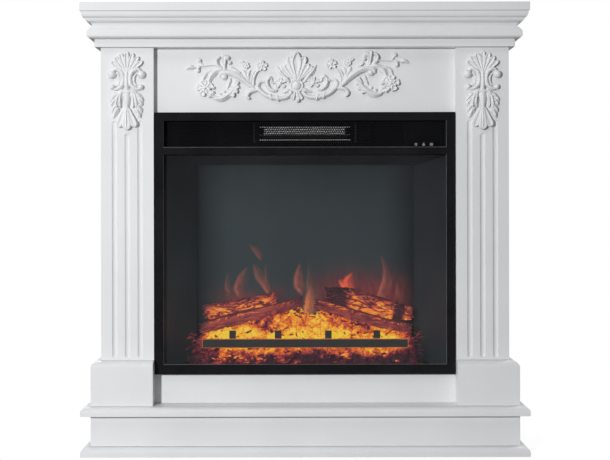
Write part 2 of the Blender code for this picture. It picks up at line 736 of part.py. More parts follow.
def make_blower_wheel(black):
    """A cross-flow wheel: end discs joined by blades, on one shaft."""
    radius, bore, half, disc = 0.0190, 0.0130, 0.1000, 0.0020
    wheel = turned("blower_wheel", WHEEL_AXIS, 0, [(-half, radius), (half, radius)], black, 32, WHEEL_AXIS)
    inside = (-half + disc, half - disc)
    centre = Vector(WHEEL_AXIS)
    slots = []
    count = 16
    slot_half = 0.0019
    for i in range(count):
        angle = 2 * math.pi * i / count
        out = Vector((0, math.cos(angle), math.sin(angle)))
        across = Vector((0, -out.z, out.y)) * slot_half
        near = centre + out * 0.010
        far = centre + out * (radius + 0.004)
        corners = [near - across, far - across, far + across, near + across]
        slots.append([[corner + Vector((v, 0, 0)) for corner in corners] for v in inside])
    hollow = [circle(WHEEL_AXIS, bore, 0, v, 32) for v in inside]
    cut_many(wheel, [hollow])
    for slot in slots:
        cut_many(wheel, [slot])
    shaft = turned("blower_shaft_cutter", WHEEL_AXIS, 0, [(-0.1205, 0.0025), (0.1166, 0.0025)], None, 12)
    modify(wheel, shaft, "UNION")


def make_controls(black, white_plastic, board):
    box("control_board", (0.2280, 0.3150), (-0.1045, -0.1029), (0.6850, 0.7500), board)
    strip_x = (BUTTON_X["power"] - BUTTON_HALF - 0.0022, BUTTON_X["heater"] + BUTTON_HALF + 0.0022)
    strip_y = (-0.1175, GRILLE_Y[0] - GAP)
    strip_z = (BUTTON_Z[0] - 0.0022, BUTTON_Z[1] + 0.0022)
    strip = box("button_strip", strip_x, strip_y, strip_z, black)
    through = (strip_y[0] - 0.01, strip_y[1] + 0.01)
    clear = 0.0003
    for x in BUTTON_X.values():
        pocket_x = (x - BUTTON_HALF - clear, x + BUTTON_HALF + clear)
        cut_box(strip, pocket_x, through, (BUTTON_Z[0] - clear, BUTTON_Z[1] + clear))
    cap_front = strip_y[0] - BUTTON_TRAVEL
    cap_back = GRILLE_Y[0] - GAP - BUTTON_TRAVEL
    stem_back = -0.1045 - GAP - BUTTON_TRAVEL
    middle_z = sum(BUTTON_Z) / 2
    for name, x in BUTTON_X.items():
        make_button(f"button_{name}", x, middle_z, (cap_front, cap_back, stem_back), white_plastic)


def make_button(name, x, z, stops, plastic):
    """A cap with a thin stem behind it, which reaches the switch on the control board."""
    front, back, end = stops
    half_x, half_z, stem = BUTTON_HALF, (BUTTON_Z[1] - BUTTON_Z[0]) / 2, 0.002

    def loop(half_wide, half_high, y):
        corners = ((-1, -1), (1, -1), (1, 1), (-1, 1))
        return [(x + a * half_wide, y, z + b * half_high) for a, b in corners]

    ease = 0.0006
    loops = [
        loop(half_x - ease, half_z - ease, front),
        loop(half_x, half_z, front + ease),
        loop(half_x, half_z, back),
        loop(stem, stem, back),
        loop(stem, stem, end),
    ]
    loft(name, loops, plastic, origin=(x, front, z))


def main():
    for obj in list(bpy.data.objects):
        bpy.data.objects.remove(obj)
    white = material("white_paint", (0.86, 0.86, 0.86), 0.42)
    black = material("black_steel", (0.012, 0.012, 0.014), 0.38, 0.3)
    black_plastic = material("black_plastic", (0.018, 0.018, 0.018), 0.5)
    white_plastic = material("grey_plastic", (0.42, 0.42, 0.42), 0.45)
    steel = material("bright_steel", (0.62, 0.62, 0.60), 0.30, 1.0)
    board = material("circuit_board", (0.03, 0.16, 0.07), 0.45)
    clear = material("clear_glass", (0.80, 0.85, 0.85), 0.05, 0.0, 0.15)
    screen = material("smoked_screen", (0.035, 0.045, 0.048), 0.25)
    amber = material("ember_resin", (0.95, 0.35, 0.05), 0.5)
    bark = material("log_resin", (0.16, 0.06, 0.035), 0.7)
    iron = material("grate_paint", (0.055, 0.052, 0.052), 0.55, 0.4)
    copper = material("heating_fins", (0.72, 0.72, 0.70), 0.35, 1.0)

    make_base(white)
    make_facade(white)
    make_pilasters(white)
    make_plinths(white)
    make_crown(white)
    make_ornaments(white)
    make_trim(black)
    make_case(black, clear)
    make_gland(black_plastic)
    make_firebox(black, screen)
    make_flame_works(steel, white_plastic, board, black_plastic)
    make_fuel(amber, bark, iron)
    make_grille(black)
    make_heater(steel, white_plastic, copper, black_plastic)
    make_controls(black_plastic, white_plastic, board)


main()
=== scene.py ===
import math

import bmesh
import bpy
import numpy as np
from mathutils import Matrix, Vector, noise


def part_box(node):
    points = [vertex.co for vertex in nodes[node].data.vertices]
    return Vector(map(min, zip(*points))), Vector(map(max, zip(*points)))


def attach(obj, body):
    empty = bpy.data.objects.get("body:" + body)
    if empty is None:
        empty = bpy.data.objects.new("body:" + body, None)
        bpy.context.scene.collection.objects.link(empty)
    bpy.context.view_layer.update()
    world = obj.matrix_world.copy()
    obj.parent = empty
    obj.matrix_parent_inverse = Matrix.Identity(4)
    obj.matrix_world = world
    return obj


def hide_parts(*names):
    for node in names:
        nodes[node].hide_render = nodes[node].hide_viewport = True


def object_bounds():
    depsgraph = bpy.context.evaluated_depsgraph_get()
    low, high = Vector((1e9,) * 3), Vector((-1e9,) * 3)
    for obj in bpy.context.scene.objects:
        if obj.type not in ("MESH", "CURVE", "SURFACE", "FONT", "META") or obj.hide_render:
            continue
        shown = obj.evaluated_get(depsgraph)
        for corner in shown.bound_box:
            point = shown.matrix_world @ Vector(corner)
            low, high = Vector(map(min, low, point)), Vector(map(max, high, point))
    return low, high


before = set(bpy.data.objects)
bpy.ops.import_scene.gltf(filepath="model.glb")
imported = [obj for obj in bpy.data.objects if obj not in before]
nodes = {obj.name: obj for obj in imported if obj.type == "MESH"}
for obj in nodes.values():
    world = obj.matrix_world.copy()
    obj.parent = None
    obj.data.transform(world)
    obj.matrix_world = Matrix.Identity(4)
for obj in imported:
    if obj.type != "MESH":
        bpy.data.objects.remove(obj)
cad_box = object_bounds()
MM = 0.001
VENT_WINDOW = (0.6898, 0.7503)  # bottom and top of the trim's two windows
GLASS_WINDOW = (0.1990, 0.6737)


# ---- Node materials ----
class Shader:
    """A material with short calls for its nodes.

    A socket is given a number, a colour or another node's output."""

    def __init__(self, name):
        self.material = bpy.data.materials.new(name)
        self.material.use_nodes = True
        self.tree = self.material.node_tree
        self.surface = self.tree.nodes["Principled BSDF"]
        self.place = self.add("ShaderNodeTexCoord").outputs["Object"]

    def add(self, kind, inputs=None, **settings):
        node = self.tree.nodes.new(kind)
        for key, value in settings.items():
            setattr(node, key, value)
        for key, value in (inputs or {}).items():
            self.feed(node.inputs[key], value)
        return node

    def feed(self, socket, value):
        if isinstance(value, bpy.types.NodeSocket):
            self.tree.links.new(value, socket)
        else:
            socket.default_value = value

    def set(self, **values):
        """Sets sockets of the Principled shader: base_color=..., roughness=..."""
        names = {s.name.lower().replace(" ", "_"): s for s in self.surface.inputs}
        for key, value in values.items():
            if isinstance(value, tuple) and len(value) == 3:
                value = (*value, 1.0)
            self.feed(names[key], value)
        return self

    def maths(self, operation, a, b=0.0, clamp=False):
        node = self.add("ShaderNodeMath", {0: a, 1: b}, operation=operation, use_clamp=clamp)
        return node.outputs[0]

    def plus(self, a, b):
        return self.maths("ADD", a, b)

    def minus(self, a, b):
        return self.maths("SUBTRACT", a, b)

    def times(self, a, b, clamp=False):
        return self.maths("MULTIPLY", a, b, clamp)

    def size(self, value):
        """The value without its sign."""
        return self.maths("ABSOLUTE", value)

    def stretch(self, scale, vector=None):
        """Coordinates multiplied by a scale for each axis."""
        node = self.add("ShaderNodeMapping", {"Scale": scale, "Vector": vector or self.place})
        return node.outputs[0]

    def noise(self, scale, detail=4.0, rough=0.55, vector=None, distortion=0.0):
        inputs = {"Scale": scale, "Detail": detail, "Roughness": rough, "Distortion": distortion}
        inputs["Vector"] = vector or self.place
        return self.add("ShaderNodeTexNoise", inputs).outputs[0]

    def cells(self, scale, feature="F1", vector=None, output="Distance"):
        inputs = {"Scale": scale, "Vector": vector or self.place}
        return self.add("ShaderNodeTexVoronoi", inputs, feature=feature).outputs[output]

    def spread(self, value, low, high, to_low=0.0, to_high=1.0):
        """Maps low..high of a value to to_low..to_high, and holds the ends."""
        inputs = {0: value, 1: low, 2: high, 3: to_low, 4: to_high}
        return self.add("ShaderNodeMapRange", inputs, clamp=True).outputs[0]

    def ramp(self, value, *stops):
        """A colour ramp; each stop is (position, (red, green, blue))."""
        node = self.add("ShaderNodeValToRGB", {"Fac": value})
        elements = node.color_ramp.elements
        while len(elements) < len(stops):
            elements.new(0.5)
        for element, (position, colour) in zip(elements, stops):
            element.position = position
            element.color = (*colour, 1.0)
        return node.outputs[0]

    def mix(self, factor, a, b):
        node = self.add("ShaderNodeMix", data_type="RGBA")
        for socket, value in zip((node.inputs[0], node.inputs[6], node.inputs[7]), (factor, a, b)):
            if isinstance(value, tuple) and len(value) == 3:
                value = (*value, 1.0)
            self.feed(socket, value)
        return node.outputs[2]

    def axis(self, name, vector=None):
        node = self.add("ShaderNodeSeparateXYZ", {0: vector or self.place})
        return node.outputs[name]

    def bump(self, height, depth, strength=1.0):
        """Dents the surface by a height of 0 to 1 times a depth in metres."""
        inputs = {"Height": height, "Distance": depth, "Strength": strength}
        node = self.add("ShaderNodeBump", inputs)
        self.feed(self.surface.inputs["Normal"], node.outputs[0])
        return self


def white_paint(name, tint=(0.80, 0.805, 0.815), raw_back=True):
    """Satin white paint on MDF, a little uneven, with raw board at the edges that face the wall."""
    s = Shader(name)
    broad = s.noise(5.0, 3.0)
    fine = s.noise(260.0, 3.0)
    light = tuple(min(1.0, c * 1.025) for c in tint)
    dark = tuple(c * 0.965 for c in tint)
    paint = s.mix(s.spread(broad, 0.3, 0.7), dark, light)
    paint = s.mix(s.spread(fine, 0.35, 0.75, 0.0, 0.10), paint, (0.70, 0.70, 0.70))
    grain = s.noise(900.0, 2.0, 0.6)
    if raw_back:
        normal = s.add("ShaderNodeNewGeometry").outputs["Normal"]
        faces_wall = s.spread(s.axis("Y", normal), 0.90, 0.95)
        at_back = s.spread(s.axis("Y"), cad_box[1][1] - 0.0016, cad_box[1][1] - 0.0010)
        fibre = s.mix(s.spread(grain, 0.3, 0.7), (0.30, 0.20, 0.12), (0.44, 0.32, 0.20))
        paint = s.mix(s.times(faces_wall, at_back), paint, fibre)
    s.set(base_color=paint, roughness=s.spread(s.noise(38.0, 4.0), 0.3, 0.7, 0.36, 0.50))
    s.set(specular_ior_level=0.5, coat_weight=0.08, coat_roughness=0.25)
    roller = s.plus(s.times(s.noise(420.0, 2.0), 0.7), s.times(grain, 0.3))
    s.bump(roller, 0.00012, 0.35)
    return s.material


def coated_metal(name, tint, roughness, gloss=0.4, texture=1400.0, depth=0.00006, scratches=0.15, glow=None):
    """Powder-coated or painted sheet metal, with a fine texture, handling marks and a little dust.

    A glow is painted light: a faint colour of light painted on the sheet near the fire, fading towards the
    firebox's top."""
    s = Shader(name)
    grain = s.noise(texture, 2.0, 0.5)
    smears = s.noise(9.0, 5.0, 0.6)
    dust = s.noise(75.0, 6.0, 0.7)
    light = tuple(c * 1.6 + 0.001 for c in tint)
    base = s.mix(s.spread(smears, 0.35, 0.75), tint, light)
    base = s.mix(s.spread(dust, 0.55, 0.80, 0.0, scratches), base, tuple(c * 2.2 + 0.012 for c in tint))
    low, high = roughness - 0.06, roughness + 0.08
    s.set(base_color=base, roughness=s.spread(smears, 0.3, 0.7, low, high), specular_ior_level=gloss)
    s.bump(grain, depth, 0.5)
    if glow:
        # painted light: the sheet's emission is full low down by the fire and fades out towards the firebox's
        # top
        s.set(emission_color=glow, emission_strength=s.spread(s.axis("Z"), 0.30, 0.66, 1.0, 0.0))
    return s.material


def galvanised(name, tint=(0.60, 0.61, 0.62)):
    """Zinc-coated steel with its spangle."""
    s = Shader(name)
    spangle = s.cells(160.0, output="Color")
    shade = s.axis("X", spangle)
    base = s.mix(s.spread(shade, 0.0, 1.0), tuple(c * 0.72 for c in tint), tint)
    stain = s.spread(s.noise(30.0, 5.0), 0.45, 0.8)
    base = s.mix(s.times(stain, 0.35), base, (0.30, 0.29, 0.28))
    s.set(base_color=base, metallic=1.0, roughness=s.spread(shade, 0.0, 1.0, 0.28, 0.48))
    s.bump(s.noise(500.0, 3.0), 0.00005, 0.5)
    return s.material


def plastic(name, tint, roughness=0.45):
    """Moulded plastic with a spark-eroded grain."""
    s = Shader(name)
    grain = s.cells(1500.0)
    tone = s.noise(24.0, 4.0)
    base = s.mix(s.spread(tone, 0.3, 0.7), tuple(c * 0.85 for c in tint), tuple(c * 1.15 for c in tint))
    s.set(base_color=base, roughness=s.spread(tone, 0.3, 0.7, roughness - 0.05, roughness + 0.07))
    s.bump(grain, 0.00008, 0.4)
    return s.material


def circuit_board(name):
    """Green solder mask over a grid of copper tracks."""
    s = Shader(name)
    tracks = s.add("ShaderNodeTexBrick", {"Vector": s.stretch((220, 220, 160)), "Scale": 1.0})
    tracks.inputs["Mortar Size"].default_value = 0.06
    mask = tracks.outputs["Fac"]
    base = s.mix(mask, (0.002, 0.005, 0.003), (0.004, 0.012, 0.007))
    base = s.mix(s.spread(s.cells(420.0), 0.0, 0.16, 1.0, 0.0), base, (0.20, 0.20, 0.18))
    s.set(base_color=base, roughness=s.spread(s.noise(60.0), 0.3, 0.7, 0.25, 0.4))
    s.bump(mask, 0.00005, 0.6)
    return s.material


def glazing(name):
    """Clean clear glass, seen as a faint film over what is behind it."""
    s = Shader(name)
    smear = s.noise(7.0, 5.0, 0.6, vector=s.stretch((1.0, 1.0, 0.4)))
    base = s.mix(s.spread(smear, 0.35, 0.75), (0.060, 0.066, 0.070), (0.120, 0.130, 0.136))
    s.set(base_color=base, roughness=s.spread(smear, 0.35, 0.75, 0.02, 0.05))
    s.set(alpha=0.09, specular_ior_level=0.5)
    return s.material


def smoked_screen(name):
    """The translucent screen behind the fire: a painted grey-blue glow, with painted shade dimming it at its
    sides and top.
    """
    s = Shader(name)
    # painted glow and painted shade: the emission strength falls off towards the screen's sides and top
    across = s.size(s.axis("X"))
    sides = s.spread(s.maths("POWER", s.spread(across, 0.180, 0.262), 1.3), 0.0, 1.0, 1.0, 0.0)
    sides = s.times(sides, s.spread(s.axis("X"), -0.2, 0.2, 1.10, 0.95))
    upper = s.spread(s.maths("POWER", s.spread(s.axis("Z"), 0.48, 0.66), 2.0), 0.0, 1.0, 1.0, 0.42)
    cloud = s.spread(s.noise(3.0, 3.0), 0.3, 0.7, 0.94, 1.06)
    strength = s.times(cloud, s.times(sides, upper))
    s.set(emission_color=(0.0300, 0.0385, 0.0420), emission_strength=strength)
    s.set(base_color=s.mix(s.noise(40.0), (0.008, 0.010, 0.011), (0.013, 0.016, 0.017)))
    s.set(roughness=s.spread(s.noise(18.0), 0.3, 0.7, 0.32, 0.42), specular_ior_level=0.2)
    s.bump(s.noise(700.0, 2.0), 0.00003, 0.4)
    return s.material


# ---- Mesh helpers ----
def link_mesh(mesh, material, smooth, angle=None):
    """Puts a mesh in the scene; edges sharper than the angle in degrees stay sharp."""
    obj = bpy.data.objects.new(mesh.name, mesh)
    bpy.context.scene.collection.objects.link(obj)
    mesh.materials.append(material)
    if smooth:
        mesh.shade_smooth()
        if angle:
            mesh.set_sharp_from_angle(angle=math.radians(angle))
    return obj


def make_object(name, vertices, faces, material, smooth=True):
    mesh = bpy.data.meshes.new(name)
    mesh.from_pydata([tuple(v) for v in vertices], [], faces)
    mesh.validate()
    return link_mesh(mesh, material, smooth)


def object_from_bmesh(name, bm, material, smooth=True, angle=None):
    bmesh.ops.recalc_face_normals(bm, faces=bm.faces)
    mesh = bpy.data.meshes.new(name)
    bm.to_mesh(mesh)
    bm.free()
    return link_mesh(mesh, material, smooth, angle)


def apply_modifiers(obj):
    """Replaces the mesh by what its modifiers make of it."""
    bpy.context.view_layer.update()
    evaluated = obj.evaluated_get(bpy.context.evaluated_depsgraph_get())
    mesh = bpy.data.meshes.new_from_object(evaluated)
    obj.modifiers.clear()
    obj.data = mesh
    return obj


def loft(bm, loops, ring=False):
    """Skins point loops of one length. The ends are capped, unless `ring` joins them."""
    rows = [[bm.verts.new(point) for point in loop] for loop in loops]
    count = len(rows[0])
    pairs = list(zip(rows, rows[1:]))
    if ring:
        pairs.append((rows[-1], rows[0]))
    for low, high in pairs:
        for i in range(count):
            j = (i + 1) % count
            bm.faces.new((low[i], low[j], high[j], high[i]))
    if not ring:
        bm.faces.new(rows[0])
        bm.faces.new(rows[-1])


def smooth_path(points, steps):
    """A Catmull-Rom curve through points of any dimension, with `steps` stretches between each two."""
    p = np.array(points, float)
    p = np.vstack([2 * p[0] - p[1], p, 2 * p[-1] - p[-2]])
    out = []
    for i in range(1, len(p) - 2):
        for step in range(steps):
            t = step / steps
            a, b, c, d = p[i - 1 : i + 3]
            square, cube = 2 * a - 5 * b + 4 * c - d, 3 * b - a - 3 * c + d
            out.append(0.5 * (2 * b + (c - a) * t + square * t**2 + cube * t**3))
    out.append(p[-2])
    return np.array(out)


def ride_root(obj, replaced=()):
    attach(obj, "root")
    if replaced:
        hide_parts(*replaced)
    return obj


# ---- Carving: closed lumps on a panel, in millimetres (u across, v up, h out of the panel) ----
RELIEF = 1.28  # the finished height of the carvings over the heights written below
SUNK = -0.6  # how far a lump's foot lies inside the panel before the lumps are fused


class Carving:
    def __init__(self, side=1, turn=0.0, stretch=1.0):
        self.bm = bmesh.new()
        self.side = side * stretch
        self.cos = math.cos(math.radians(turn))
        self.sin = math.sin(math.radians(turn))

    def point(self, u, v, h):
        """A point of the carving, mirrored for side -1, stretched across and turned about the middle."""
        return (self.side * (u * self.cos - v * self.sin), v * self.cos + u * self.sin, h)

    def strand(self, path, sizes, steps=5, profile=None, sides=8, blunt=True):
        """A rod or leaf on a curve. Each size is (half width, height), and the profile shapes its top."""
        spine = smooth_path(path, steps)
        size = smooth_path(sizes, max(1, steps * 4))
        loops = []
        count = len(spine)
        for i in range(count):
            t = i / (count - 1)
            before, after = spine[max(0, i - 1)], spine[min(count - 1, i + 1)]
            direction = after - before
            direction = direction / max(1e-6, np.hypot(*direction))
            across = np.array([-direction[1], direction[0]])
            wide, high = np.maximum(size[int(t * (len(size) - 1))], 0.25)
            tip = min(t, 1 - t) / 0.09
            if blunt and tip < 1:
                close = math.sqrt(max(0.04, 1 - (1 - tip) ** 2))
                wide, high = wide * close, high * (0.5 + 0.5 * close)
            loop = []
            for k in range(sides + 1):
                s = -math.cos(math.pi * k / sides)
                rise = math.sin(math.pi * k / sides)
                w, h = wide, high * rise
                if profile:
                    w, h = profile(t, s, rise, wide, high)
                centre = spine[i] + across * s * w
                loop.append(self.point(centre[0], centre[1], h))
            loop.append(self.point(*(spine[i] + across * wide * 0.5), SUNK))
            loop.append(self.point(*(spine[i] - across * wide * 0.5), SUNK))
            loops.append(loop)
        loft(self.bm, loops)

    def leaf(self, path, wide, high, lobes=3, depth=0.35):
        """An acanthus leaf: a midrib, lobed edges and a fold between each two lobes."""

        def profile(t, s, rise, w, h):
            wave = 0.5 - 0.5 * math.cos(2 * math.pi * lobes * t)
            edge = 1 - depth * (1 - wave)
            ridge = 0.62 * rise + 0.38 * (1 - abs(s)) ** 1.5
            groove = 1 - 0.42 * (1 - wave) * abs(s) * rise
            return w * edge, h * ridge * groove

        sizes = [(wide * 0.45, high * 0.8), (wide, high)]
        sizes += [(wide * 0.85, high * 0.9), (wide * 0.15, high * 0.45)]
        self.strand(path, sizes, 8, profile, 10)

    def tongue(self, base, tip, wide, high, dish=0.55):
        """A petal or shell lobe that widens towards its tip, with a raised rim and a hollow middle."""

        def profile(t, s, rise, w, h):
            rim = 1 - dish * math.exp(-((s / 0.55) ** 2)) * min(1.0, t * 2.5) * min(1.0, (1 - t) * 6)
            end = math.sqrt(max(0.03, 1 - (max(0.0, t - 0.80) / 0.20) ** 2))
            half = wide * (0.28 + 0.75 * min(1.0, t / 0.80)) * end
            return half, h * min(1.0, rise * 1.8) * rim * (0.6 + 0.4 * end)

        b, e = np.array(base, float), np.array(tip, float)
        path = [b + (e - b) * t for t in (0, 0.33, 0.66, 1)]
        sizes = [(wide, high * 0.75), (wide, high * 0.92), (wide, high)]
        self.strand(path, sizes, 6, profile, 12, blunt=False)

    def ball(self, u, v, radius, high=None, rings=6, sides=14):
        high = radius if high is None else high
        loops = []
        for i in range(rings + 1):
            angle = math.pi / 2 * i / rings
            r = max(0.25, radius * math.cos(angle))
            h = SUNK if i == 0 else high * math.sin(angle)
            turns = [2 * math.pi * k / sides for k in range(sides)]
            loops.append([self.point(u + r * math.cos(a), v + r * math.sin(a), h) for a in turns])
        loft(self.bm, loops)

    def rosette(self, u, v, radius, turn, high):
        """A flower of five petals round a raised middle."""
        petals = 5
        for i in range(petals):
            angle = turn + 2 * math.pi * i / petals
            tip = (u + radius * math.cos(angle), v + radius * math.sin(angle))
            self.tongue((u, v), tip, radius * 0.42, high, 0.45)
        self.ball(u, v, radius * 0.30, high * 1.15)

    def cast(self, shape, side, turn=0.0, stretch=1.0):
        """Adds one half, made by `shape`, on side -1 or 1."""
        half = Carving(side, turn, stretch)
        shape(half)
        mesh = bpy.data.meshes.new("half")
        half.bm.to_mesh(mesh)
        half.bm.free()
        self.bm.from_mesh(mesh)

    def object(self, name, face, middle, material, voxel):
        """Fuses the lumps into one skin that stands on a panel whose face is at y = `face`."""
        obj = object_from_bmesh(name, self.bm, material)
        remesh = obj.modifiers.new("fuse", "REMESH")
        remesh.mode = "VOXEL"
        remesh.voxel_size = voxel
        smooth = obj.modifiers.new("soften", "SMOOTH")
        smooth.factor = 0.5
        smooth.iterations = 2
        decimate = obj.modifiers.new("thin", "DECIMATE")
        decimate.ratio = 0.45
        apply_modifiers(obj)
        co = np.array([v.co for v in obj.data.vertices])
        out = np.maximum(co[:, 2] * RELIEF, -0.25)
        placed = np.column_stack((middle[0] + co[:, 0] * MM, face - out * MM, middle[1] + co[:, 1] * MM))
        obj.data.vertices.foreach_set("co", placed.astype(np.float32).ravel())
        obj.data.update()
        obj.data.flip_normals()
        obj.data.shade_smooth()
        return obj


def swag_side(c):
    """One half of the frieze's swag. u is the distance from its middle and v the height over the boss."""
    # the band below the shell, its wraps, and the hook at its end
    band = [(71, 10), (84, 8), (88, -3), (78, -15), (63, -24), (43, -28.5), (24, -26), (14, -17), (16, -5)]
    c.strand(band, [(3, 5), (4.8, 7), (5.4, 8), (5.6, 8.5), (5.6, 8.5), (5, 8), (3, 5)])
    c.ball(72, 9.5, 3.8, 6.5)
    for u, v in ((43, -28.5), (58, -25.5)):
        c.strand([(u - 2, v - 7.5), (u, v), (u + 3, v + 7.5)], [(2.8, 7), (3.6, 10), (2.8, 7)], 4)
    hook = [(84, -9), (95, -11), (105, -14), (111, -22), (107, -30)]
    c.strand(hook, [(3, 6), (4.8, 8), (4.8, 8), (3.4, 7)])
    c.ball(107.5, -28, 4.0, 7.5)
    # flowers and berries between the band and the boss
    c.leaf([(15, 6), (25, 18), (36, 31), (46, 46)], 7.0, 8.5, 2, 0.2)
    c.leaf([(14, -7), (23, -13), (34, -17)], 4.6, 7.5, 2)
    c.strand([(62, 20), (67, 9), (63, -4), (53, -11), (43, -10)], [(3, 6), (4.2, 8), (4.2, 8), (3, 6)])
    c.ball(61, 18, 4.8, 8)
    for tip in ((26, 13), (27, -3), (47, -4), (50, 10), (37, 19)):
        c.tongue((37, 5), tip, 4.4, 6.5, 0.3)
    c.ball(37, 5, 5.6, 8.5)
    c.leaf([(51, 4), (56, 12), (55, 22)], 3.6, 6.5, 2)
    # flower and broad leaves on stalks
    c.strand([(97, -5), (97, 14), (91, 29), (82, 38)], [(3.2, 6.5), (2.8, 6.5), (2.2, 5)])
    c.strand([(102, -3), (103, 12), (99, 26), (93, 34)], [(2.6, 6), (2.2, 5.5), (1.6, 4)])
    c.rosette(78, 45, 12.0, 0.35, 7.0)
    c.ball(77, 55, 3.4, 7.5)
    c.leaf([(101, -4), (109, 12), (116, 26), (122, 38)], 8.5, 7.5, 2, 0.22)
    c.leaf([(104, 2), (108, 16), (108, 28), (103, 38)], 5.0, 7.0, 2, 0.25)
    c.rosette(114, 46, 8.0, 0.9, 6.5)
    c.tongue((116, 46), (126, 56), 4.0, 6.5, 0.3)
    # the broad scroll, which curls inwards to an eye
    scroll = [(91, -9), (104, 1), (118, 13), (132, 23), (146, 29), (159, 30), (170, 27), (172, 18)]
    c.strand(scroll, [(4, 7), (6, 8), (7.6, 9), (8.0, 9.5), (6.6, 9), (5.0, 8.5), (3.4, 7)])
    c.strand(scroll[1:6], [(1.4, 9.5), (1.8, 11), (1.4, 10)])
    c.ball(163, 20, 7.6, 9)
    # the bud over it
    c.strand([(126, 29), (138, 36), (150, 45)], [(2.8, 6), (2.6, 6.5), (3, 6.5)])
    c.strand([(168, 40), (177, 46), (180, 57), (172, 67)], [(3, 6), (4.4, 8.5), (4.2, 8.5), (3, 7)])
    c.tongue((162, 41), (164, 71), 6.0, 9.0, 0.2)
    c.ball(155.5, 63.5, 6.4, 8.5)
    c.ball(150.5, 52.5, 5.2, 7.5)
    c.ball(161, 40, 3.4, 6.5)
    # the leaf that closes the ring, and the rosette on it
    c.leaf([(158, 32), (176, 35), (190, 26), (197, 11), (200, -3)], 9.0, 8.5, 3, 0.22)
    c.leaf([(184, 34), (202, 29), (210, 15), (211, 3)], 5.2, 6.5, 3, 0.25)
    c.rosette(206, -6, 19.0, 0.15, 8.0)
    c.rosette(206, -6, 11.5, 0.80, 9.5)
    for u, v in ((187, -4), (188, -15), (195, -23)):
        c.ball(u, v, 4.6, 7.5)
    # crescent leaves below the ring
    c.leaf([(186, -29), (170, -29), (155, -21), (143, -9), (136, 8)], 8.4, 9.0, 2, 0.10)
    lobes = [((143, -2), (132, 11)), ((145, -8), (130, 0))]
    lobes += [((149, -14), (132, -12)), ((154, -20), (139, -22))]
    for base, tip in lobes:
        c.tongue(base, tip, 5.0, 8.5, 0.2)
    c.leaf([(174, -27), (189, -24), (201, -17), (209, -8)], 5.0, 7.0, 3, 0.25)
    c.leaf([(148, 18), (152, 4), (157, -8)], 4.2, 6.5, 2, 0.3)
    c.ball(172, -19, 3.6, 6)
    c.ball(163, -13, 3.2, 5.5)
    # the thin tip with its leaf and two buds
    c.strand([(163, 41), (185, 47.5), (209, 45), (221, 45), (232, 41)], [(2.4, 5.5), (1.9, 5), (1.7, 5)])
    c.leaf([(229, 40), (239, 43), (250, 37)], 5.6, 7.0, 1, 0.1)
    c.strand([(209, 45), (214, 50), (217, 56)], [(1.6, 4), (1.6, 4)], 4)
    c.ball(218.5, 58, 5.6, 7)
    c.strand([(214, 45), (221, 41), (221, 30)], [(2.0, 5), (4.4, 7), (4.4, 7.5)])


def swag_middle(c):
    """The shell over the boss, and the drop below it."""
    left = [(0, 12), (-4, 28), (-8, 44), (-9, 57), (-5, 68)]
    rim = left + [(0, 75)] + [(-u, v) for u, v in reversed(left)]
    c.strand(rim, [(1.8, 6), (2.4, 9.5), (2.6, 10), (2.4, 9.5), (1.8, 6)], 4)
    c.tongue((0, 14), (0, 72), 7.0, 5.5, 0.25)
    for side in (-1, 1):
        c.tongue((side * 2, 12), (side * 18, 67), 7.6, 9.5, 0.45)
        c.tongue((side * 4, 12), (side * 27, 50), 6.0, 8.5, 0.45)
        c.tongue((side * 6, 11), (side * 36, 45), 4.6, 7.5, 0.3)
        c.tongue((side * 4, -13), (side * 11, -32), 4.4, 7.0, 0.2)
    c.tongue((0, -12), (2, -38), 4.8, 8.5, 0.1)
    c.ball(2, -33, 4.6, 9)
    ring = [(13.6 * math.cos(a), 13.6 * math.sin(a)) for a in np.linspace(0, 2 * math.pi, 17)]
    c.strand(ring, [(1.9, 5.5), (1.9, 5.5)], 2, blunt=False)
    c.ball(0, 0, 11.6, 9.5, 8, 22)


def make_swag(material):
    """Both halves are casts of one mould; the right one is wider and turned a little upwards."""
    low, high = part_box("frieze_ornament")
    middle = ((low.x + high.x) / 2 - 0.0015, 0.8300)
    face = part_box("frieze_panel")[0].y
    whole = Carving()
    swag_middle(whole)
    whole.cast(swag_side, -1, 0.0, 1.01)
    whole.cast(swag_side, 1, 3.1, 1.035)
    piece = whole.object("frieze_swag_carving", face, middle, material, 0.85)
    ride_root(piece, ["frieze_ornament"])


def drop_side(c):
    """One half of a pilaster's drop. v is the height over its lowest point."""
    # the double scroll
    scroll = [(33, 134), (24, 138), (13.5, 133), (8.5, 122), (8, 111), (11, 101), (20, 94), (31, 92)]
    c.strand(scroll, [(3.6, 6), (5.2, 8), (5.2, 8.5), (5.2, 8.5), (5.0, 8), (3.6, 6)])
    c.strand([(28, 129), (20, 126), (16, 115), (19, 104), (27, 100)], [(1.6, 4), (2.8, 5.5), (1.6, 4)])
    c.ball(33.5, 125.5, 9.8, 9.5, 7, 18)
    c.ball(32, 97.5, 6.8, 8.5)
    # the broad acanthus leaf below the scrolls, with its folds and lobed edge
    c.leaf([(9, 93), (17, 79), (22, 63), (23, 45)], 9.5, 8.0, 2, 0.12)
    c.strand([(10, 88), (14, 76), (15, 62), (14, 50)], [(1.4, 7), (1.8, 9), (1.2, 7)])
    c.strand([(17, 84), (21, 72), (23, 60), (22, 50)], [(1.2, 8), (1.6, 9.5), (1.2, 8)])
    for path, wide in (
        ([(20, 84), (30, 75), (38, 65)], 6.4),
        ([(23, 72), (31, 64), (36, 55)], 6.0),
        ([(20, 58), (29, 50), (35, 40)], 6.6),
        ([(17, 52), (26, 40), (31, 27)], 7.6),
    ):
        c.leaf(path, wide, 8.0, 2, 0.18)
    c.ball(24, 46, 3.0, 8)
    # the side petal of the foot
    c.tongue((4, 50), (19, 7), 8.0, 9.0, 0.22)


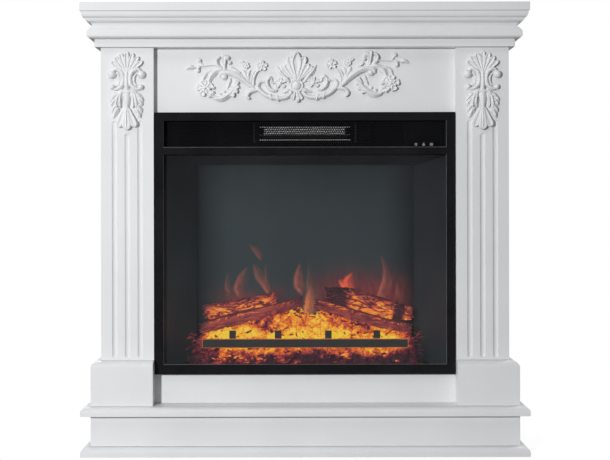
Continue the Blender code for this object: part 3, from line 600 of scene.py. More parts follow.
def drop_middle(c):
    """The fan, the stem and the tulip at the foot."""
    for i in range(-3, 4):
        angle = math.radians(i * 17.0)
        reach = 50 - 1.6 * abs(i)
        tip = (reach * math.sin(angle), 128 + reach * math.cos(angle))
        c.tongue((2.5 * i / 3, 128), tip, 5.4, 8.0, 0.55)
    c.strand([(0, 140), (0, 122), (0, 105), (0, 90)], [(3.0, 6), (4.6, 8.5), (5.2, 9), (5.6, 8)], 6)
    c.strand([(0, 98), (0, 80), (0, 62), (0, 46)], [(6.5, 7), (8.5, 8), (7.0, 8), (4.0, 7)], 6)
    c.strand([(-15, 90), (0, 86), (15, 90)], [(3, 6), (4.5, 8.5), (3, 6)])
    c.tongue((0, 54), (0, 0.5), 10.0, 10.0, 0.15)
    c.strand([(0, 50), (0, 34), (0, 18), (0, 4)], [(1.0, 9), (1.6, 11), (1.2, 10)])


def make_drops(material):
    for name in ("left", "right"):
        low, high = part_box(f"pilaster_ornament_{name}")
        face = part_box(f"pilaster_{name}")[0].y
        whole = Carving()
        drop_middle(whole)
        whole.cast(drop_side, -1)
        whole.cast(drop_side, 1)
        middle = ((low.x + high.x) / 2, low.z)
        piece = whole.object(f"pilaster_drop_carving_{name}", face, middle, material, 0.75)
        ride_root(piece, [f"pilaster_ornament_{name}"])


# ---- CAD nodes that stay ----
def ease_edges(node, width, segments=3):
    """Rounds a CAD node's edges for the render, as paint or a folded edge does."""
    obj = nodes[node]
    weld = obj.modifiers.new("weld", "WELD")
    weld.merge_threshold = 0.00002
    bevel = obj.modifiers.new("ease", "BEVEL")
    bevel.width = width
    bevel.segments = segments
    bevel.limit_method = "ANGLE"
    bevel.angle_limit = math.radians(34)
    bevel.use_clamp_overlap = True
    normals = obj.modifiers.new("shade", "WEIGHTED_NORMAL")
    normals.weight = 60


def dress(node, material, ease=0.0, segments=3):
    obj = nodes[node]
    obj.data.materials.clear()
    obj.data.materials.append(material)
    if ease:
        ease_edges(node, ease, segments)


MANTEL_BOARDS = (
    "base_plate", "riser_front", "riser_left", "riser_right", "hearth_board", "frieze_panel",
    "lower_panel", "stile_left", "stile_right", "side_panel_left", "side_panel_right", "pilaster_left",
    "pilaster_right", "plinth_block_left", "plinth_block_right", "plinth_return_left",
    "plinth_return_right", "fascia_board", "crown_moulding_front", "crown_moulding_left",
    "crown_moulding_right", "mantel_shelf", "insert_shelf",
)  # fmt: skip


def dress_mantel():
    paint = white_paint("white_satin_paint")
    for node in MANTEL_BOARDS:
        dress(node, paint, 0.0011)
    carving = white_paint("white_carving_paint", (0.81, 0.812, 0.82), False)
    make_swag(carving)
    make_drops(carving)


def dress_insert():
    trim = coated_metal("trim_black", (0.0085, 0.0082, 0.0092), 0.28, 0.20, 1100.0, 0.00002, 0.06)
    case = coated_metal("case_black", (0.016, 0.016, 0.017), 0.50, 0.4, 900.0, 0.00007, 0.35)
    # painted light: a faint grey-blue glow painted on the firebox's walls and ceiling
    painted_firebox_glow = (0.0075, 0.0105, 0.0118)
    firebox = coated_metal("firebox_black", (0.0175, 0.0190, 0.0225), 0.48, 0.3, 900.0, 0.00006, 0.20, painted_firebox_glow)
    zinc = galvanised("zinc_sheet")
    ceramic = plastic("ceramic_core", (0.045, 0.043, 0.042), 0.5)
    black = plastic("black_plastic", (0.016, 0.016, 0.016))
    grey = plastic("grey_plastic", (0.34, 0.34, 0.35))
    board = circuit_board("green_board")
    dress("trim_frame", trim, 0.0009, 3)
    for node in ("case_wrapper", "rear_cover"):
        dress(node, case, 0.0004, 2)
    for node in ("heater_deck", "firebox_ceiling", "cheek_left", "cheek_right"):
        dress(node, firebox)
    dress("front_glass", glazing("clear_glass"))
    dress("flame_screen", smoked_screen("smoked_screen"))
    for node in ("flame_mask", "flame_rotor", "rotor_bracket", "heater_housing"):
        dress(node, zinc)
    dress("heating_element", ceramic)
    for node in ("rotor_motor", "blower_motor", "blower_wheel", "cable_gland"):
        dress(node, black, 0.0003, 2)
    dress("button_strip", plastic("strip_black", (0.003, 0.003, 0.004), 0.5))
    for node in ("rotor_bush", "blower_bearing"):
        dress(node, grey)
    cap = plastic("button_caps", (0.005, 0.005, 0.006), 0.5)
    for node in ("button_power", "button_flame", "button_heater"):
        dress(node, cap, 0.0004, 2)
    for node in ("control_board", "ember_led_strip", "flame_led_strip"):
        dress(node, board)
    dress("fire_grate", grate_material(), 0.0005, 2)


# ---- The perforated grille ----
def make_grille():
    """A staggered field of round holes, punched through a plain border."""
    low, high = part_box("vent_grille")
    front, back = low.y, high.y
    pitch = 5.2 * MM
    row_pitch = pitch * math.sqrt(3) / 2
    radius = 2.0 * MM
    window = (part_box("trim_frame")[1].x - 0.0185, low.z + 0.0095, high.z - 0.0075)
    columns = int(2 * window[0] / pitch)
    rows = int((window[2] - window[1]) / row_pitch)
    corners = 6
    vertices, faces = [], []
    index = {}

    def vertex(x, y, z):
        key = (round(x * 1e6), round(y * 1e6), round(z * 1e6))
        if key not in index:
            index[key] = len(vertices)
            vertices.append((x, y, z))
        return index[key]

    hexagon = pitch / math.sqrt(3)
    field_middle = (window[1] + window[2]) / 2
    for row in range(rows):
        z = field_middle + (row - (rows - 1) / 2) * row_pitch
        for column in range(columns - row % 2):
            x = (column - (columns - 1 - row % 2) / 2) * pitch
            rim, hole = [], []
            for k in range(corners):
                angle = math.pi / 6 + math.pi / 3 * k
                rim.append((x + hexagon * math.cos(angle), z + hexagon * math.sin(angle)))
                hole.append((x + radius * math.cos(angle), z + radius * math.sin(angle)))
            for k in range(corners):
                j = (k + 1) % corners
                for y, turn in ((front, 1), (back, -1)):
                    quad = [vertex(a, y, b) for a, b in (rim[k], rim[j], hole[j], hole[k])]
                    faces.append(quad[::turn])
                wall = ((hole[k], front), (hole[j], front), (hole[j], back), (hole[k], back))
                faces.append([vertex(a, y, b) for (a, b), y in wall])
    material = coated_metal("grille_black", (0.0075, 0.0072, 0.0086), 0.45, 0.14, 900.0, 0.00003, 0.04)
    grille = make_object("vent_grille_punched", vertices, faces, material, smooth=False)
    wide, tall = columns / 2 * pitch, rows / 2 * row_pitch
    field = (-wide, wide, field_middle - tall, field_middle + tall)
    bm = bmesh.new()
    reach = 0.7 * hexagon
    spans = (
        ((low.x, high.x), (low.z, field[2] + reach * 0.2)),
        ((low.x, high.x), (field[3] - reach * 0.2, high.z)),
        ((low.x, field[0] + reach), (field[2], field[3])),
        ((field[1] - reach, high.x), (field[2], field[3])),
    )
    for (x0, x1), (z0, z1) in spans:
        faces_y = (front + 0.0001, back - 0.0001)
        loft(bm, [[(x0, y, z0), (x1, y, z0), (x1, y, z1), (x0, y, z1)] for y in faces_y])
    border = object_from_bmesh("vent_grille_border", bm, material, smooth=False)
    ride_root(grille, ["vent_grille"])
    ride_root(border)


# ---- Fuel bed: embers, logs and flames ----
BED_HALF = 0.262
# the four logs: start, end, radii along it, seed, charring as (place along the log, amount), glow of the face
LOGS = {
    "left_front": (
        (-0.243, -0.034, 0.267), (-0.008, -0.034, 0.3367), (0.0125, 0.0150, 0.0155, 0.0145, 0.0130, 0.0110),
        1.0, ((0, 0.5), (0.12, 0.1), (0.6, 0.0), (0.8, 0.15), (1, 0.6)), 0.27,
    ),
    "left_rear": (
        (-0.240, 0.0035, 0.3020), (-0.070, 0.0035, 0.3325), (0.0170, 0.0220, 0.0240, 0.0245, 0.0235, 0.0205),
        2.0, ((0, 0.7), (0.10, 0.25), (0.3, 0.0), (0.84, 0.0), (0.93, 0.35), (1, 0.5)), 0.74,
    ),
    "right_front": (
        (0.247, -0.034, 0.269), (0.025, -0.034, 0.3248), (0.0110, 0.0140, 0.0150, 0.0150, 0.0135, 0.0115),
        3.0, ((0, 0.5), (0.15, 0.25), (0.5, 0.05), (0.85, 0.10), (1, 0.6)), 0.27,
    ),
    "right_rear": (
        (0.255, 0.0035, 0.3055), (0.050, 0.0035, 0.3440), (0.0175, 0.0220, 0.0240, 0.0245, 0.0245, 0.0220),
        4.0,
        ((0, 0.8), (0.06, 0.2), (0.12, 0.9), (0.2, 0.9), (0.24, 0.0), (0.70, 0.15), (0.80, 0.95), (1, 1.0)),
        0.74,
    ),
}  # fmt: skip


def float_attribute(mesh, name, values):
    attribute = mesh.attributes.new(name, "FLOAT", "POINT")
    attribute.data.foreach_set("value", np.array(values, np.float32))


def ember_material():
    """Translucent resin rubble lit from below: yellow over the lamp, red further out, dimmer at the sides,
    with painted shade under the logs, in the crevices and on faces turned down.
    """
    s = Shader("glowing_embers")
    tone = s.add("ShaderNodeAttribute", attribute_name="tone").outputs["Fac"]
    fine = s.noise(170.0, 3.0, 0.55)
    patch = s.noise(24.0, 2.0, 0.5)
    cells = s.cells(62.0, "DISTANCE_TO_EDGE")
    ring = s.size(s.minus(s.cells(70.0), 0.42))
    across = s.size(s.axis("X"))
    z = s.axis("Z")
    rising = s.spread(z, 0.208, 0.232, 0.00, 0.56)
    lamp = s.spread(z, 0.236, 0.252, 0.0, 0.36)
    # painted shade: the crest under the logs glows less, and a little less dimmed in the gap between them
    under_log_shade = s.spread(z, 0.258, 0.282, 0.0, -0.52)
    under_log_shade = s.times(under_log_shade, s.spread(across, 0.030, 0.085, 0.55, 1.0))
    heat = s.plus(s.plus(rising, lamp), under_log_shade)
    heat = s.plus(heat, s.times(s.minus(patch, 0.5), 2.1))
    heat = s.plus(heat, s.times(s.minus(tone, 0.5), 0.75))
    heat = s.plus(heat, s.times(s.minus(fine, 0.5), 0.50))
    heat = s.plus(heat, s.spread(ring, 0.0, 0.10, 0.20, 0.0))
    sides = s.spread(across, 0.205, 0.250, 1.0, 0.22)
    # painted shade: faces turned down glow less than faces turned up
    normal = s.add("ShaderNodeNewGeometry").outputs["Normal"]
    lit = s.spread(s.axis("Z", normal), -0.45, 0.45, 0.22, 1.0)
    heat = s.times(heat, sides)
    # painted shade: the glow dims in the crevices between the lumps
    crevice_shade = s.spread(cells, 0.0, 0.07, 0.55, 1.0)
    heat = s.times(heat, s.times(lit, crevice_shade), clamp=True)
    colour = s.ramp(
        heat,
        (0.00, (0.012, 0.005, 0.008)),
        (0.14, (0.080, 0.012, 0.022)),
        (0.30, (0.340, 0.038, 0.034)),
        (0.50, (0.800, 0.150, 0.016)),
        (0.72, (0.960, 0.400, 0.024)),
        (1.00, (0.970, 0.660, 0.045)),
    )
    body = s.mix(tone, (0.018, 0.006, 0.011), (0.085, 0.022, 0.030))
    s.set(base_color=body, emission_color=colour, emission_strength=0.92)
    s.set(roughness=s.spread(fine, 0.3, 0.7, 0.22, 0.45), specular_ior_level=0.35)
    s.bump(s.plus(fine, cells), 0.0006, 0.6)
    return s.material


def log_underside(x):
    """The height of the front logs' undersides over the bed, or 0 between and beyond them."""
    for name in ("left_front", "right_front"):
        start, end, radii = LOGS[name][:3]
        t = (x - start[0]) / (end[0] - start[0])
        if 0 <= t <= 1:
            radius = float(np.interp(t, np.linspace(0, 1, len(radii)), radii))
            return start[2] + (end[2] - start[2]) * t - radius
    return 0.0


def bed_height(x, y, front):
    """The CAD node's mound, heaped up to the logs' undersides along the middle."""
    side = min(1.0, abs(x) / BED_HALF)
    crest = 0.245 + 0.056 * (1 - side**1.2)
    heap = max(0.0, log_underside(x) + 0.004 - crest) * max(0.0, 1 - ((y + 0.030) / 0.028) ** 2)
    heap *= min(1.0, max(0.0, (abs(x) - 0.018) / 0.060)) ** 0.7
    ramp = min(1.0, max(0.0, (y - front) / 0.048))
    height = 0.2000 + (crest - 0.2000) * ramp**0.75
    return height + heap - 0.020 * side * min(1.0, max(0.0, (y + 0.014) / 0.010))


def make_embers(material):
    low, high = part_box("ember_bed")
    columns, rows = 300, 70
    xs = np.linspace(low.x, high.x, columns + 1)
    ys = low.y + (high.y - low.y) * np.linspace(0, 1, rows + 1) ** 1.5
    floor = low.z + 0.0005
    vertices, faces = [], []
    for j in range(rows + 1):
        for i in range(columns + 1):
            x, y = float(xs[i]), float(ys[j])
            height = bed_height(x, y, low.y)
            p = Vector((x, y, height))
            near = noise.voronoi(p * 62.0)[0]
            pebble = min((near[1] - near[0]) * 2.2, 1.4) - 0.8
            height += pebble * 0.0056 + noise.fractal(p * 150.0, 0.6, 2.2, 3) * 0.0008
            edge = min(1.0, min(i, columns - i) / 5.0)
            vertices.append((x, y, max(floor + 0.001, floor + (height - floor) * max(0.10, edge))))
    width = columns + 1
    for j in range(rows):
        for i in range(columns):
            a = j * width + i
            faces.append((a, a + 1, a + 1 + width, a + width))
    border = list(range(width))
    border += [j * width + columns for j in range(1, rows + 1)]
    border += [rows * width + i for i in range(columns - 1, -1, -1)]
    border += [j * width for j in range(rows - 1, 0, -1)]
    start = len(vertices)
    count = len(border)
    for index in border:
        vertices.append((*vertices[index][:2], floor))
    for k in range(count):
        j = (k + 1) % count
        faces.append((border[j], border[k], start + k, start + j))
    faces.append([start + k for k in range(count)][::-1])
    bed = make_object("ember_bed_rubble", vertices, faces, material)
    float_attribute(bed.data, "tone", [0.5 + 0.5 * noise.noise(Vector(v) * 70.0) for v in vertices])
    ride_root(bed, ["ember_bed"])


def twist(bm, tones, centre, heading, length, radius, seed):
    """A curled splinter of resin charcoal: a bent, tapering strand with a rough skin."""
    rings, sides = 9, 7
    rows = []
    side = Vector((-heading.y, heading.x, 0.25)).normalized()
    lift = heading.cross(side)
    bend = noise.noise(Vector((seed, 3.1, 0.0))) * 1.6
    tone = 0.5 + noise.noise(Vector((seed * 1.7, 0.4, 2.0)))
    for i in range(rings + 1):
        t = i / rings
        a = (t - 0.5) * 2
        spine = centre + heading * a * length / 2
        curl = side * math.sin(a * 2.0 + seed) + lift * math.cos(a * 1.7 + seed)
        spine = spine + curl * bend * length * 0.20
        taper = math.sqrt(max(0.03, 1 - abs(a) ** 2.6))
        row = []
        for k in range(sides):
            angle = 2 * math.pi * k / sides + t * bend
            ragged = noise.noise(Vector((seed * 3.0 + math.cos(angle), math.sin(angle), t * 3)))
            r = radius * taper * (1 + 0.45 * ragged)
            row.append(bm.verts.new(spine + side * r * math.cos(angle) + lift * r * math.sin(angle)))
            tones.append(tone + 0.25 * ragged)
        rows.append(row)
    for low, high in zip(rows, rows[1:]):
        for k in range(sides):
            j = (k + 1) % sides
            bm.faces.new((low[k], low[j], high[j], high[k]))
    bm.faces.new(rows[0])
    bm.faces.new(rows[-1])


def make_splinters(material):
    """Splinters over the mound, along its foot and in the corners beside it."""
    rng = np.random.default_rng(11)
    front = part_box("ember_bed")[0].y
    bar_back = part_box("fire_grate")[1].y
    bm = bmesh.new()
    tones = []

    def place(x, y, z, length, radius, seed):
        turn = float(rng.uniform(0, math.pi))
        heading = Vector((math.cos(turn), math.sin(turn) * 0.6, float(rng.uniform(-0.5, 0.5)))).normalized()
        twist(bm, tones, Vector((x, y, z)), heading, length, radius, seed)

    for seed in range(90):
        x = float(rng.uniform(-0.250, 0.250))
        y = float(rng.uniform(front + 0.012, -0.042))
        radius = float(rng.uniform(0.0018, 0.0040))
        z = bed_height(x, y, front) + radius * 0.3
        place(x, y, z, float(rng.uniform(0.011, 0.024)), radius, seed + 0.5)
    for seed in range(190):
        x = float(rng.uniform(-0.256, 0.256))
        y = float(rng.uniform(bar_back + 0.002, front + 0.012))
        radius = float(rng.uniform(0.0018, 0.0040))
        z = float(rng.uniform(0.194, 0.206 + (y - bar_back) * 1.6))
        place(x, y, z, float(rng.uniform(0.010, 0.022)), radius, seed + 400.5)
    for seed in range(130):
        side = 1 if seed % 2 else -1
        x = side * float(rng.uniform(0.236, 0.272))
        y = float(rng.uniform(front + 0.002, -0.030))
        radius = float(rng.uniform(0.0011, 0.0024))
        z = 0.193 + float(rng.uniform(0, 1)) ** 1.5 * 0.070
        place(x, y, z, float(rng.uniform(0.010, 0.020)), radius, seed + 700.5)
    for seed in range(90):
        x = float(rng.uniform(-0.082, -0.008)) if seed % 3 else float(rng.uniform(0.026, 0.070))
        y = float(rng.uniform(-0.034, 0.006))
        radius = float(rng.uniform(0.0022, 0.0045))
        rise = float(rng.uniform(0.288, 0.300 + 0.022 * (1 - (x / 0.09) ** 2)))
        place(x, y, rise, float(rng.uniform(0.012, 0.024)), radius, seed + 900.5)
    splinters = object_from_bmesh("ember_splinters", bm, material)
    float_attribute(splinters.data, "tone", tones)
    ride_root(splinters)


def bark_material(name, face_glow, peeled):
    """A cast log lit from inside: cracked along its grain, dark where it is charred and along its top.

    A peeled log has a smooth face, and its bright lines run along the upper edge only."""
    s = Shader(name)
    uv = s.add("ShaderNodeUVMap").outputs[0]
    around = s.add("ShaderNodeAttribute", attribute_name="up").outputs["Fac"]
    char = s.add("ShaderNodeAttribute", attribute_name="char").outputs["Fac"]
    grain = s.noise(1.0, 5.0, 0.6, s.stretch((26, 150, 1), uv), 0.9)
    broad = s.noise(1.0, 3.0, 0.5, s.stretch((16, 34, 1), uv), 1.4)
    web = s.cells(1.0, "DISTANCE_TO_EDGE", s.stretch((22, 75, 1), uv))
    swirl = s.noise(1.0, 2.0, 0.5, s.stretch((16, 50, 1), uv), 1.8)
    swirl = s.size(s.minus(swirl, 0.5))
    string = s.spread(swirl, 0.010, 0.050, 1.0, 0.0)
    crack = s.spread(s.size(s.minus(broad, 0.47)), 0.010, 0.050, 1.0, 0.0)
    face = s.spread(broad, 0.36, 0.56, face_glow * (0.75 if peeled else 0.45), face_glow)
    face = s.plus(face, s.times(s.minus(grain, 0.5), 0.16 if peeled else 0.5))
    face = s.times(face, s.spread(web, 0.02, 0.12, 0.65 if peeled else 0.25, 1.0))
    if peeled:
        edge = s.spread(s.size(s.minus(around, 0.58)), 0.12, 0.36, 1.0, 0.10)
        string = s.times(string, edge)
    heat = s.maths("MAXIMUM", face, s.times(string, 0.62 + 0.38 * face_glow))
    heat = s.times(heat, s.spread(crack, 0.0, 1.0, 1.0, 0.50 if peeled else 0.12))
    heat = s.times(heat, s.spread(around, 0.70 if peeled else 0.35, 0.92, 1.0, 0.18))
    uneven = s.times(s.minus(broad, 0.5), 1.2)
    scorched = s.spread(s.plus(char, uneven), 0.25, 0.75)
    from_edge = s.size(s.minus(scorched, 0.5))
    ember_edge = s.times(s.spread(from_edge, 0.0, 0.3, 1.0, 0.0), 0.7)
    heat = s.times(heat, s.spread(scorched, 0.0, 1.0, 1.0, 0.07))
    crackle = s.times(s.spread(web, 0.0, 0.06, 1.0, 0.0), s.spread(grain, 0.42, 0.62, 0.0, 1.0))
    heat = s.maths("MAXIMUM", heat, s.times(crackle, s.spread(scorched, 0.2, 1.0, 0.0, 0.42)))
    bright = s.times(ember_edge, s.maths("MAXIMUM", string, crackle))
    heat = s.maths("MAXIMUM", heat, bright, clamp=True)
    colour = s.ramp(
        heat,
        (0.00, (0.018, 0.006, 0.008)),
        (0.10, (0.095, 0.014, 0.022)),
        (0.25, (0.290, 0.044, 0.042)),
        (0.45, (0.600, 0.100, 0.024)),
        (0.70, (0.880, 0.235, 0.022)),
        (1.00, (0.980, 0.500, 0.075)),
    )
    base = s.mix(s.spread(grain, 0.3, 0.7), (0.030, 0.012, 0.012), (0.140, 0.050, 0.044))
    base = s.mix(scorched, base, (0.022, 0.024, 0.028))
    s.set(base_color=base, emission_color=colour, emission_strength=0.95)
    s.set(roughness=s.spread(grain, 0.3, 0.7, 0.38, 0.62), specular_ior_level=0.4)
    s.bump(s.minus(grain, s.times(crack, 0.8)), 0.0016, 0.9)
    return s.material


def make_log(name, start, end, radii, seed, scorch, material):
    """Split wood between two points: ridges along its grain, and a broken cut at each end."""
    start, end = Vector(start), Vector(end)
    direction = (end - start).normalized()
    back = direction.cross(Vector((0, 0, 1))).normalized()
    up = back.cross(direction)
    if up.z < 0:
        up = -up
    rings, sides = 110, 64
    length = (end - start).length
    bm = bmesh.new()
    uv = bm.loops.layers.uv.new("grain")
    rows, ups, chars = [], [], []

    def vertex(place, high, t):
        ups.append(high)
        chars.append(float(np.interp(t, *zip(*scorch))))
        return bm.verts.new(place)

    for i in range(rings + 1):
        t = i / rings
        radius = float(np.interp(t, np.linspace(0, 1, len(radii)), radii))
        bend = up * (0.0035 * math.sin(math.pi * t * 1.6 + seed))
        row = []
        for k in range(sides):
            angle = 2 * math.pi * k / sides
            c, s = math.cos(angle), math.sin(angle)
            p = Vector((c * 1.3, s * 1.3, t * length * 14)) + Vector((seed * 5.0, 0, 0))
            ridge = noise.noise(Vector((p.x * 3.4, p.y * 3.4, p.z * 0.40)))
            broad = noise.noise(p * 0.75)
            chips = noise.noise(p * 3.4)
            cleft = abs(noise.noise(Vector((p.x * 1.7, p.y * 1.7, p.z * 0.24 + 7.0))))
            split = max(0.0, 0.14 - cleft) / 0.14
            square = 1 / max(abs(c), abs(s)) ** 0.35
            r = radius * square * (0.94 + 0.13 * ridge + 0.12 * broad + 0.05 * chips - 0.20 * split)
            ragged = 0.0
            if i in (0, rings):
                ragged = 0.012 * noise.noise(Vector((c * 2, s * 2, seed + (0 if i == 0 else 9))))
            place = start + direction * (t * length + ragged) + bend + back * r * c + up * r * s
            row.append(vertex(place, s, t))
        rows.append(row)
    girth = 2 * math.pi * max(radii)
    for i in range(rings):
        for k in range(sides):
            j = (k + 1) % sides
            face = bm.faces.new((rows[i][k], rows[i][j], rows[i + 1][j], rows[i + 1][k]))
            for loop, (a, b) in zip(face.loops, ((i, k), (i, k + 1), (i + 1, k + 1), (i + 1, k))):
                loop[uv].uv = (a / rings * length + seed, b / sides * girth)
    for row, t, inward in ((rows[0], 0.0, direction), (rows[-1], 1.0, -direction)):
        centre = sum((v.co for v in row), Vector()) / sides
        inner = [vertex(centre + (v.co - centre) * 0.6 + inward * 0.002, 0.0, t) for v in row]
        middle = vertex(centre + inward * 0.004, 0.0, t)
        for k in range(sides):
            j = (k + 1) % sides
            for corners in ((row[k], row[j], inner[j], inner[k]), (inner[k], inner[j], middle)):
                for loop in bm.faces.new(corners).loops:
                    offset = loop.vert.co - centre
                    loop[uv].uv = (seed + offset.dot(back), offset.dot(up))
    log = object_from_bmesh(f"log_{name}_bark", bm, material, angle=60)
    float_attribute(log.data, "up", ups)
    float_attribute(log.data, "char", chars)
    ride_root(log, [f"log_{name}"])


def make_logs():
    for name, (start, end, radii, seed, scorch, glow) in LOGS.items():
        bark = bark_material(f"bark_{name}", glow, name.endswith("front"))
        make_log(name, start, end, radii, seed, scorch, bark)


# each flame: foot x and z, its line as (dx, dz) in mm, half widths in mm, strength, colours of foot and tip
SALMON = (0.340, 0.095, 0.075)
ROSE = (0.230, 0.072, 0.068)
BROWN = (0.150, 0.082, 0.058)
SCARLET = (0.900, 0.125, 0.055)
ORANGE = (0.880, 0.260, 0.060)
FLAMES = (
    (-0.182, 0.352, [(0, 0), (-5, 12), (-5, 28), (-2, 50)], [6, 9, 6, 1], 0.60, ROSE, BROWN),
    (-0.160, 0.348, [(0, 0), (-1, 14), (8, 34), (19, 58)], [10, 14, 16, 6], 0.75, SALMON, ROSE),
    (-0.085, 0.345, [(0, 0), (-10, 22), (-26, 46), (-37, 70)], [7, 11, 14, 7], 0.90, SALMON, BROWN),
    (-0.092, 0.360, [(0, 0), (0, 24), (-3, 44), (-2, 62)], [5, 7, 5, 1], 0.45, ROSE, ROSE),
    (-0.106, 0.428, [(0, 0), (-5, 14), (-15, 27), (-30, 38)], [3, 9, 9, 2], 0.60, ROSE, ROSE),
    (0.020, 0.310, [(0, 0), (2, 24), (-4, 50), (-14, 70)], [14, 20, 21, 6], 0.62, ROSE, BROWN),
    (-0.007, 0.352, [(0, 0), (-8, 18), (-9, 38), (-5, 68)], [10, 16, 13, 3], 0.85, SALMON, SALMON),
    (0.012, 0.300, [(0, 0), (0, 40), (0, 80), (-2, 130)], [9, 12, 12, 3], 0.45, BROWN, BROWN),
    (0.008, 0.288, [(0, 0), (1, 24), (4, 48), (6, 72)], [13, 17, 15, 5], 0.92, ORANGE, SALMON),
    (0.104, 0.348, [(0, 0), (-1, 14), (-1, 28), (9, 48)], [17, 18, 14, 2], 1.00, SCARLET, SCARLET),
    (0.102, 0.350, [(0, 0), (-7, 14), (-14, 24), (-22, 30)], [12, 11, 7, 1], 0.95, SCARLET, SCARLET),
    (0.180, 0.325, [(0, 0), (8, 28), (15, 54), (14, 82), (3, 114)], [18, 15, 13, 9, 2], 0.90, SALMON, ROSE),
    (0.205, 0.350, [(0, 0), (2, 26), (-1, 52)], [4, 4, 1], 0.35, BROWN, BROWN),
    (0.222, 0.338, [(0, 0), (4, 12), (2, 24), (4, 36)], [14, 12, 8, 2], 0.30, ROSE, ROSE),
)
# broad haze behind the logs: middle x and z, half width, half height, strength, colour
HAZES = (
    (-0.165, 0.340, 0.060, 0.028, 0.55, (0.220, 0.045, 0.042)),
    (-0.070, 0.346, 0.045, 0.030, 0.40, (0.160, 0.028, 0.034)),
    (0.045, 0.345, 0.060, 0.050, 0.45, (0.150, 0.032, 0.038)),
    (0.100, 0.352, 0.090, 0.062, 0.72, (0.190, 0.026, 0.034)),
    (0.185, 0.338, 0.100, 0.068, 0.80, (0.210, 0.028, 0.036)),
)


def make_flames():
    """The flame picture that the rotor throws on the screen: one thin sheet, clear where nothing glows."""
    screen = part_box("flame_screen")
    y = screen[0].y - 0.0012
    left, right, bottom, top = -0.290, 0.290, 0.262, 0.500
    columns, rows = 290, 130
    x, z = np.meshgrid(np.linspace(left, right, columns + 1), np.linspace(bottom, top, rows + 1))
    colour = np.zeros((*x.shape, 3))
    cover = np.zeros(x.shape)

    def lay(glow, tint):
        nonlocal colour, cover
        glow = np.clip(glow, 0, 1)
        total = glow + cover * (1 - glow)
        share = np.where(total > 1e-4, glow / np.maximum(total, 1e-4), 0)
        colour = colour * (1 - share[..., None]) + tint * share[..., None]
        cover = total

    for hx, hz, wide, tall, strength, tint in HAZES:
        away = ((x - hx) / wide) ** 2 + ((z - hz) / tall) ** 2
        lay(np.exp(-2.2 * away) * strength, np.array(tint))
    for foot_x, foot_z, path, widths, strength, foot_tint, tip_tint in FLAMES:
        spine = smooth_path(path, 14)
        along = np.gradient(spine, axis=0)
        size = np.interp(np.linspace(0, 1, len(spine)), np.linspace(0, 1, len(widths)), widths)
        glow = np.zeros(x.shape)
        place = np.zeros(x.shape)
        edge = np.zeros(x.shape)
        for i, ((dx, dz), wide) in enumerate(zip(spine, size)):
            t = i / (len(spine) - 1)
            rise = min(1.0, 0.25 + t * 3.0) * (1 - t) ** 0.45
            du, dv = x - foot_x - dx * MM, (z - foot_z - dz * MM) * 0.8
            near = np.hypot(du, dv) / (wide * MM)
            here = rise * np.clip(1.15 * (1 - near**2), 0, 1)
            better = here > glow
            glow = np.where(better, here, glow)
            place = np.where(better, t, place)
            edge = np.where(better, np.sign(du * along[i][1] - dv * along[i][0]) * near, edge)
        rim = np.exp(-(((edge + 0.55) / 0.24) ** 2))
        tint = np.array(foot_tint) * (1 - place[..., None]) + np.array(tip_tint) * place[..., None]
        lay(glow * strength * (0.72 + 0.40 * rim), tint * (0.78 + 0.75 * rim[..., None]))
    cover *= np.clip((0.270 - np.abs(x)) / 0.035, 0, 1)
    vertices = [(float(a), y, float(b)) for a, b in zip(x.ravel(), z.ravel())]
    width = columns + 1
    faces = [(j * width + i, j * width + i + 1, (j + 1) * width + i + 1, (j + 1) * width + i)
             for j in range(rows) for i in range(columns)]
    s = Shader("flame_light")
    picture = s.add("ShaderNodeAttribute", attribute_name="fire_picture")
    streaks = s.noise(1.0, 4.0, 0.6, s.stretch((60, 60, 22)), 1.4)
    tint = s.mix(s.spread(streaks, 0.40, 0.75, 0.0, 0.22), picture.outputs["Color"], (0.50, 0.17, 0.11))
    s.set(base_color=(0.0, 0.0, 0.0), emission_color=tint, emission_strength=1.0, roughness=1.0)
    patchy = s.spread(streaks, 0.25, 0.70, 0.75, 1.10)
    alpha = s.times(picture.outputs["Alpha"], patchy, clamp=True)
    s.set(specular_ior_level=0.0, alpha=alpha)
    sheet = make_object("flame_picture", vertices, faces, s.material)
    values = np.dstack([colour, cover]).reshape(-1, 4).astype(np.float32)
    attribute = sheet.data.attributes.new("fire_picture", "FLOAT_COLOR", "POINT")
    attribute.data.foreach_set("color", values.ravel())
    ride_root(sheet)


# ---- Small pieces ----
def screw_head(name, centre, material):
    """A pan-head screw with a cross recess, whose head faces the rear."""
    radius = 0.0035
    bm = bmesh.new()
    sides = 20
    loops = []
    turns = [2 * math.pi * k / sides for k in range(sides)]
    for h, r in ((0.0, 1.0), (0.0008, 1.0), (0.0016, 0.86), (0.0020, 0.60)):
        y, r = centre[1] + h, r * radius
        loops.append([(centre[0] + r * math.cos(a), y, centre[2] + r * math.sin(a)) for a in turns])
    loft(bm, loops)
    head = object_from_bmesh(name, bm, material, angle=40)
    bm = bmesh.new()
    for wide, tall in ((0.46, 0.10), (0.10, 0.46)):
        corners = ((-wide, -tall), (wide, -tall), (wide, tall), (-wide, tall))
        outline = [(centre[0] + a * radius, centre[2] + b * radius) for a, b in corners]
        loft(bm, [[(x, centre[1] + h, z) for x, z in outline] for h in (0.0008, 0.0030)])
    recess = object_from_bmesh(name + "_recess", bm, material, smooth=False)
    union = recess.modifiers.new("one", "REMESH")
    union.mode = "VOXEL"
    union.voxel_size = 0.00012
    apply_modifiers(recess)
    cut = head.modifiers.new("recess", "BOOLEAN")
    cut.operation = "DIFFERENCE"
    cut.object = recess
    apply_modifiers(head)
    bpy.data.objects.remove(recess)
    return ride_root(head)


